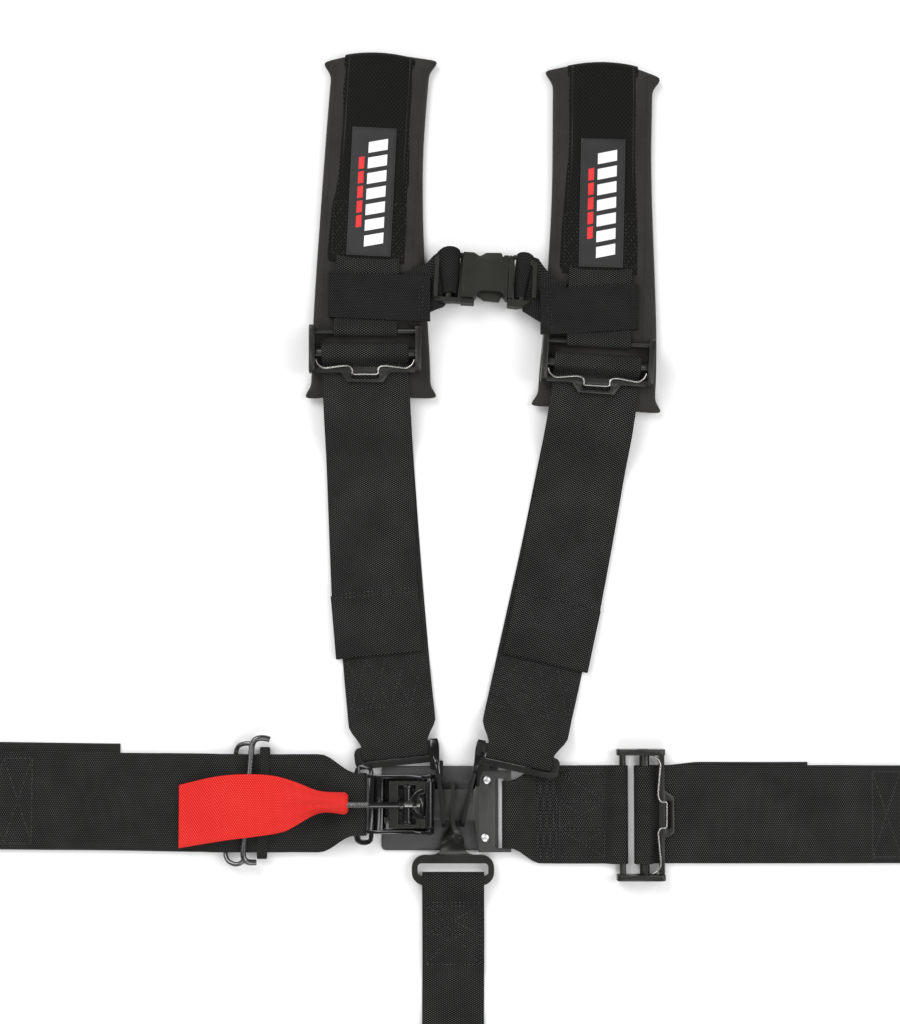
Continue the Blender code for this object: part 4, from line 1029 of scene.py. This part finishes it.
def latch():
    """The latch: a cross bar, a lever with a window and a roller, and a ring round the rod's end."""
    refined("latch_frame", "black_gloss_steel", 0.7)
    bm = bmesh.new()
    block(bm, (-49.0, -41.6), LEVER_PLATE_ENDS, LEVER_PLATE)
    block(bm, (-28.4, -25.0), LEVER_PLATE_ENDS, LEVER_PLATE)
    block(bm, (-25.2, -20.5), (11.4, 19.0), LEVER_PLATE)
    block(bm, (-25.2, -20.5), (-17.5, -9.8), LEVER_PLATE)
    for y in ((15.6, 19.0), (-17.5, -14.1)):
        block(bm, (-42.0, -28.0), y, LEVER_PLATE)
    rounded_piece("latch_lever_plate", bm, "black_oxide", "latch_lever", ("latch_lever",), 0.8)
    bm = bmesh.new()
    bar(bm, (ROLLER_X, -14.5, 15.6), (ROLLER_X, 16.0, 15.6), 3.5)
    for y in ((-14.4, -12.0), (13.4, 15.8)):
        bar(bm, (ROLLER_X, y[0], 15.6), (ROLLER_X, y[1], 15.6), 4.4)
    bar(bm, (-18.0, -17.3, 14.6), (-18.0, 18.8, 14.6), 3.9)
    rounded_piece("latch_lever_rollers", bm, "black_gloss_steel", "latch_lever", (), 0.6)
    bm = bmesh.new()
    centre = (LEVER_RING_X, ROD_Y, 0)
    section = ((-12.6, 15.8), (-12.6, 18.6), (-8.4, 18.6), (-8.4, 15.8))
    face = bm.faces.new([bm.verts.new((LEVER_RING_X + x, ROD_Y, z)) for x, z in section])
    bmesh.ops.spin(bm, geom=[face], axis=(0, 0, 1), cent=centre, angle=math.pi, steps=24,
                   use_duplicate=False)
    bmesh.ops.rotate(bm, verts=bm.verts, cent=centre, matrix=Matrix.Rotation(-math.pi / 2, 3, "Z"))
    rounded_piece("latch_lever_ring", bm, "black_gloss_steel", "latch_lever", (), 0.8)
    refined("lever_pin", "black_gloss_steel", 0.5)
    refined("lever_leaf_spring", "black_gloss_steel", 0.2)
    bm = bmesh.new()
    bar(bm, (-81.0, ROD_Y, 21.0), (-64.5, ROD_Y, 21.0), 2.3, 6)
    finish_piece("lever_rod_end", bm, "spring_steel", "latch_lever", smooth=False)
    bm = bmesh.new()
    bar(bm, (-64.5, ROD_Y, 21.0), (-37.0, ROD_Y, 20.6), 2.5)
    for x in (-40.6, -30.4):
        bar(bm, (x, ROD_Y, 20.4), (x + 3.4, ROD_Y, 20.4), 3.6)
    rounded_piece("lever_rod_shaft", bm, "black_gloss_steel", "latch_lever", ("lever_rod",), 0.4)
    bm = bmesh.new()
    bar(bm, (-37.2, ROD_Y, 20.4), (-24.5, 0.8, 19.6), 2.4)
    rounded_piece("lever_rod_tip", bm, "spring_steel", "latch_lever", (), 0.6)


def neck(side, facts):
    """The thick twist where a link's flat ring turns up into its leg."""
    place = turned(*facts["link"])
    mirror = 1 if side == "right" else -1
    low = facts["ring"]
    bm = divided_block(2, 6, 2)
    for vert in bm.verts:
        along = vert.co.y + 0.5
        wide = 1.75 + 2.0 * eased(along, 0.35, 0.75) - 0.7 * eased(along, 0.85, 1.0)
        height = 18.6 - (12.0 - low * 0.25) * eased(along, 0.35, 1.0)
        x = vert.co.x * 2 * wide + mirror * 0.9 * eased(along, 0.3, 0.7)
        z = low - 0.2 + (height - low) * (vert.co.z + 0.5)
        vert.co = place @ Vector((x, 21.0 + 30.5 * along, z))
    made = rounded_piece(f"{side}_link_neck", bm, "black_gloss_steel", f"{side}_shoulder", (), 1.0)
    modify(made, "SUBSURF", levels=1, render_levels=1)
    bm = bmesh.new()
    corner = [(-23.2, 27.9), (-18.5, 26.7), (-16.1, 22.0), (-15.3, 14.1), (-13.0, 14.1), (-12.8, 33.8),
              (-23.2, 33.8)]
    slab(bm, [(5.9 - x * mirror, y) for x, y in corner], low + 0.4, low + 3.1)
    rounded_piece(f"{side}_link_corner", bm, "link_steel", f"{side}_shoulder", ())


def pierced(bm, outline, holes, low, high):
    """Adds a plate of an outline with holes, on the plan, between two heights."""
    edges = []
    for ring in (outline, *holes):
        verts = [bm.verts.new((x, y, low)) for x, y in ring]
        edges += [bm.edges.new((verts[i - 1], verts[i])) for i in range(len(verts))]
    bmesh.ops.triangle_fill(bm, use_beauty=True, edges=edges)
    grown = bmesh.ops.extrude_face_region(bm, geom=bm.faces[:])["geom"]
    for vert in grown:
        if isinstance(vert, bmesh.types.BMVert):
            vert.co.z = high


def crotch_link():
    """The lowest link: its leg stands on edge, swells and twists a quarter turn into a flat ring."""
    top, leg = 17.0, 7.7
    half = [(0, leg), (30, leg), (40, leg + 0.1), (47, 8.3), (51, 9.0), (53.6, 10.4), (55.2, 12.6),
            (56, 16.0)]
    half += [(x, -y) for x, y in arc((66, -22), 10, 180, 270, 8) + arc((69.5, -22), 10, 270, 360, 8)]
    outline = half + [(x, -y) for x, y in reversed(half)]
    hole = []
    far_end = top - CROTCH_BAR[0] - 6.5
    for centre, start in (((far_end, 24.5), 0), ((65.5, 24.5), 90), ((65.5, -24.5), 180),
                          ((far_end, -24.5), 270)):
        hole += arc(centre, 3.0, start, start + 90, 5)
    slot = [(3.5, -3.6), (30.5, -3.6), (30.5, 1.2), (3.5, 1.2)]
    bm = bmesh.new()
    pierced(bm, outline, (hole, slot), -LINK_PLATE / 2, LINK_PLATE / 2)
    cuts = [((31.0 + 1.2 * i, 0, 0), (1, 0, 0)) for i in range(22)]
    cuts += [((0, y, 0), (0, 1, 0)) for y in (-6.0, -4.0, -2.0, 0.0, 2.0, 4.0, 6.0)]
    for spot, way in cuts:
        bmesh.ops.bisect_plane(bm, geom=[*bm.verts, *bm.edges, *bm.faces], plane_co=spot, plane_no=way)
    for vert in bm.verts:
        along, wide, thick = vert.co
        turn = math.radians(90) * (1 - eased(along, 30.0, 53.0))
        round_off = math.sqrt(max(0.0, 1.0 - (wide / 11.5) ** 2))
        thick *= 1 + 1.3 * round_off * eased(along, 34.0, 43.0) * (1 - eased(along, 46.0, 57.0))
        height = 10.8 - (10.8 - CROTCH_BAR[1]) * eased(along, 38.0, 55.5)
        vert.co = (0.7 + wide * math.cos(turn) - thick * math.sin(turn), top - along,
                   height + wide * math.sin(turn) + thick * math.cos(turn))
    rounded_piece("crotch_link_plate", bm, "black_oxide", NODES["crotch_link"]["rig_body"],
                  ("crotch_link",), 1.0)


def lap_slide():
    """The wire slide: a rod with hooked ends over the strap, and a second one below it."""
    x0, y0 = SLIDER_X, 0.9
    over = [(16.5, 49.5, 8.0), (12.4, 50.8, 8.6), (8.2, 50.8, 9.2), (4.4, 49.0, 9.6), (2.8, 45.0, 9.6),
            (2.2, 38.0, 9.6), (0.0, 10.0, 9.4), (-2.7, -28.3, 9.4), (-3.6, -38.0, 9.4), (-3.4, -42.0, 9.2),
            (-1.2, -44.8, 8.8), (2.2, -45.7, 8.4), (6.6, -45.6, 7.8)]
    under = [(2.6, 46.2, 8.8), (-2.4, 46.6, 8.0), (-7.4, 45.0, 6.4), (-9.8, 41.6, 4.0), (-10.6, 37.0, 2.0),
             (-13.0, 8.0, 1.9), (-17.6, -36.0, 2.0), (-18.0, -40.6, 4.0), (-15.7, -44.8, 6.4),
             (-10.4, -47.2, 8.0), (-5.4, -46.4, 8.8), (-3.2, -43.4, 9.0)]
    for name, points, radius, nodes in (("lap_slide_rod", over, 2.3, ("left_lap_slide",)),
                                        ("lap_slide_loop", under, 1.8, ())):
        wire(name, [(x0 + x, y0 + y, z) for x, y, z in points], radius, "gun_metal", "left_lap_slide", nodes)
    x = x0 + 12.6
    path = [(84.0, 1.0)]
    run(path, 2.5, 1.0)
    fold(path, (2.5, 4.4), 3.4, -90, -270)
    run(path, 81.5, 7.8)
    fold(path, (81.5, 4.4), 3.4, 90, -70)
    _, line = plan_line((x, y0 + 42.0), 180.0, (x - 2.0, y0 - 42.0), 180.0, 20.0, 20.0)
    webbing("lap_strap_keeper", line, path, 7.5, "left_lap_slide", (), columns=4, thick=1.0)


def wire(name, points, radius, material, body, replaces):
    """A bent wire through a few points, rounded at each of its corners."""
    points = [Vector(p) for p in points]
    smooth = [points[0]]
    for before, here, after in zip(points, points[1:], points[2:]):
        a = here + (before - here).normalized() * min(2.2, (before - here).length / 2)
        b = here + (after - here).normalized() * min(2.2, (after - here).length / 2)
        smooth += [a * (1 - t) ** 2 + here * 2 * t * (1 - t) + b * t * t for t in (0, 0.25, 0.5, 0.75, 1)]
    smooth.append(points[-1])
    curve = bpy.data.curves.new(name, "CURVE")
    curve.dimensions = "3D"
    curve.bevel_depth = radius * MM
    curve.bevel_resolution = 5
    curve.use_fill_caps = True
    spline = curve.splines.new("POLY")
    spline.points.add(len(smooth) - 1)
    for target, spot in zip(spline.points, smooth):
        target.co = (*(spot * MM), 1.0)
    made = bpy.data.objects.new(name, curve)
    curve.materials.append(MATERIALS[material])
    bpy.context.scene.collection.objects.link(made)
    return settle(made, body, replaces)


def spring(name, place, outer, base, body):
    """The adjuster's wire spring, bent from one piece."""
    half, z = outer / 2 - 5.1, base + 8.2
    side = [(half, -5.5), (half - 1.6, -9.6), (half - 6.4, -12.4), (15.4, -10.2), (11.6, -11.0),
            (9.8, -13.4), (10.4, -17.0)]
    points = side + [(-x, y) for x, y in reversed(side)]
    wire(f"{name}_wire", [place @ Vector((x, y, z)) for x, y in points], 0.8, "spring_wire", body, (name,))


def buckle():
    """The side-release buckle's two halves, lying with their lower edge a little raised."""
    place = turned(BUCKLE_AT, BUCKLE_TURN) @ Matrix.Translation((0, 0, BUCKLE_Z))
    place = place @ Matrix.Rotation(math.radians(BUCKLE_TILT), 4, "X")
    bm = bmesh.new()
    body = [(-18.0, -19.6), (-8.0, -19.6), (-7.2, -18.6), (-4.8, -14.6), (-1.6, -13.2), (12.2, -13.2),
            (15.0, -15.4), (17.4, -18.6), (18.4, -18.6), (18.4, 17.4), (14.6, 17.4), (11.6, 13.9),
            (5.4, 13.8), (-1.0, 15.6), (-5.6, 15.8), (-9.6, 18.3), (-18.0, 18.3)]
    slab(bm, body, -5.2, 5.4, place)
    block(bm, (-19.8, -17.2), (-19.6, 17.4), (-3.0, 1.4), place)
    block(bm, (-18.0, -7.4), (-23.4, -18.4), (-5.2, 2.4), place)
    for y in ((-23.2, -19.6), (15.4, 18.2)):
        block(bm, (-38.6, -17.0), y, (-2.5, 3.2), place)
    slab(bm, [(-39.4, -20.0), (-38.4, -21.6), (-36.2, -21.6), (-36.2, 14.6), (-37.8, 14.6),
              (-40.0, 10.6)], 2.2, 7.0, place)
    bar(bm, place @ Vector((SOCKET_BAR, -20.5, 0)), place @ Vector((SOCKET_BAR, 17.5, 0)), 2.6)
    rounded_piece("buckle_socket", bm, "buckle_plastic", "left_shoulder", ("chest_socket",), 0.9)
    bm = bmesh.new()
    base = [(18.5, -18.4), (22.6, -18.4), (22.6, 17.2), (18.5, 17.8)]
    slab(bm, base, -4.6, 5.2, place)
    slab(bm, [(18.4, -24.0), (26.0, -24.6), (33.2, -22.8), (37.4, -19.0), (18.4, -17.6)], -4.0, 3.4,
         place)
    slab(bm, [(21.6, 17.4), (21.6, 14.6), (26.4, 14.0), (34.0, 11.2), (37.2, 8.0), (37.4, -18.2),
              (41.0, -17.6), (41.0, 9.8), (38.6, 13.2), (33.0, 15.6), (27.0, 17.0)], 3.0, 7.6, place)
    bar(bm, place @ Vector((PLUG_BAR, -20.5, 0)), place @ Vector((PLUG_BAR, 15.5, 0)), 2.6)
    block(bm, (-8.0, 20.0), (-2.6, 2.6), (-2.4, 2.4), place)
    rounded_piece("buckle_plug", bm, "buckle_plastic", "right_shoulder", ("chest_plug",), 0.9)
    for node in ("chest_prong_lower", "chest_prong_upper"):
        refined(node, "buckle_plastic", 1.0)


def hardware():
    """All the metal, plastic and rubber, and the red tab."""
    for side, facts in SHOULDERS.items():
        refined(f"{side}_shoulder_link", "link_steel", 0.9)
        neck(side, facts)
        refined(f"{side}_shoulder_adjuster_frame", "black_oxide", 0.7)
        refined(f"{side}_shoulder_slide_bar", "black_oxide", 0.5)
        refined(f"{side}_shoulder_anchor", "link_steel", 0.5)
        spring(f"{side}_shoulder_adjuster_spring", turned(*facts["seat"]), 87.5, PAD_TOP,
               f"{side}_shoulder")
    refined("right_lap_adjuster_frame", "black_oxide", 0.7)
    refined("right_lap_slide_bar", "black_oxide", 0.5)
    spring("right_lap_adjuster_spring", turned(LAP_ADJUSTER_AT, 90.0), 101.5, 0.0, "right_lap")
    for node in ("right_lap_anchor", "left_lap_anchor", "crotch_anchor"):
        refined(node, "link_steel", 0.5)
    crotch_link()
    refined("tongue", "tongue_steel", 0.7)
    refined("backing_flap", "flap_rubber", 0.6)
    refined("rivet_upper", "rivet_aluminium", 0.4)
    refined("rivet_lower", "rivet_aluminium", 0.4)
    latch()
    buckle()
    lap_slide()
    pull_tab()


# ---------------------------------------------------------------- studio

# Each lamp has its place, its width, its length and its power, in metres and watts.
LAMPS = {
    "key": ((-1.0, 1.5, 1.6), 1.3, None, 30.0),
    "fill": ((1.5, 0.5, 1.5), 1.4, None, 18.0),
    "low": ((0.1, -1.3, 1.6), 1.2, None, 14.0),
    "strip_left": ((-0.9, 0.1, 1.3), 0.25, 1.8, 5.0),
    "strip_right": ((0.9, 0.1, 1.3), 0.25, 1.8, 5.0),
}


def studio():
    """A pale floor, soft light from all round and a camera looking almost straight down."""
    scene = bpy.context.scene
    bm = bmesh.new()
    bmesh.ops.create_grid(bm, x_segments=1, y_segments=1, size=6.0)
    mesh = bpy.data.meshes.new("floor")
    bm.to_mesh(mesh)
    bm.free()
    floor = bpy.data.objects.new("floor", mesh)
    mesh.materials.append(MATERIALS["floor"])
    scene.collection.objects.link(floor)
    world = bpy.data.worlds.new("studio")
    world.use_nodes = True
    sky = world.node_tree.nodes["Background"]
    sky.inputs["Color"].default_value = (1.0, 1.0, 1.0, 1.0)
    graph = Graph(world.node_tree)
    glossy = graph.add("ShaderNodeLightPath").outputs["Is Glossy Ray"]
    graph.join(graph.ramp(glossy, 0.0, 1.0, 0.30, 0.07), sky.inputs["Strength"])
    scene.world = world
    for name, (at, width, length, power) in LAMPS.items():
        light = bpy.data.lights.new(name, "AREA")
        light.size = width
        if length:
            light.shape = "RECTANGLE"
            light.size_y = length
        light.energy = power
        lamp = bpy.data.objects.new(name, light)
        lamp.location = at
        toward = Vector((0.0, 0.2, 0.0)) - Vector(at)
        lamp.rotation_euler = toward.to_track_quat("-Z", "Y").to_euler()
        scene.collection.objects.link(lamp)
    camera = bpy.data.objects.new("camera", bpy.data.cameras.new("camera"))
    camera.data.lens = 70.0
    aim, distance, tilt = Vector((-0.0016, 0.228, 0.006)), 1.563, math.radians(3.0)
    camera.location = aim + Vector((0.0, -math.sin(tilt), math.cos(tilt))) * distance
    camera.rotation_euler = (tilt, 0.0, 0.0)
    camera.data.clip_end = 20.0
    scene.collection.objects.link(camera)
    scene.camera = camera
    scene.view_settings.view_transform = "Standard"


studio()
hardware()
for side, facts in SHOULDERS.items():
    shoulder_webbing(side, facts)
    shoulder_pad(side, *upper_strap(side, facts))
    chest_strap(side)
left_lap()
right_lap()
crotch()
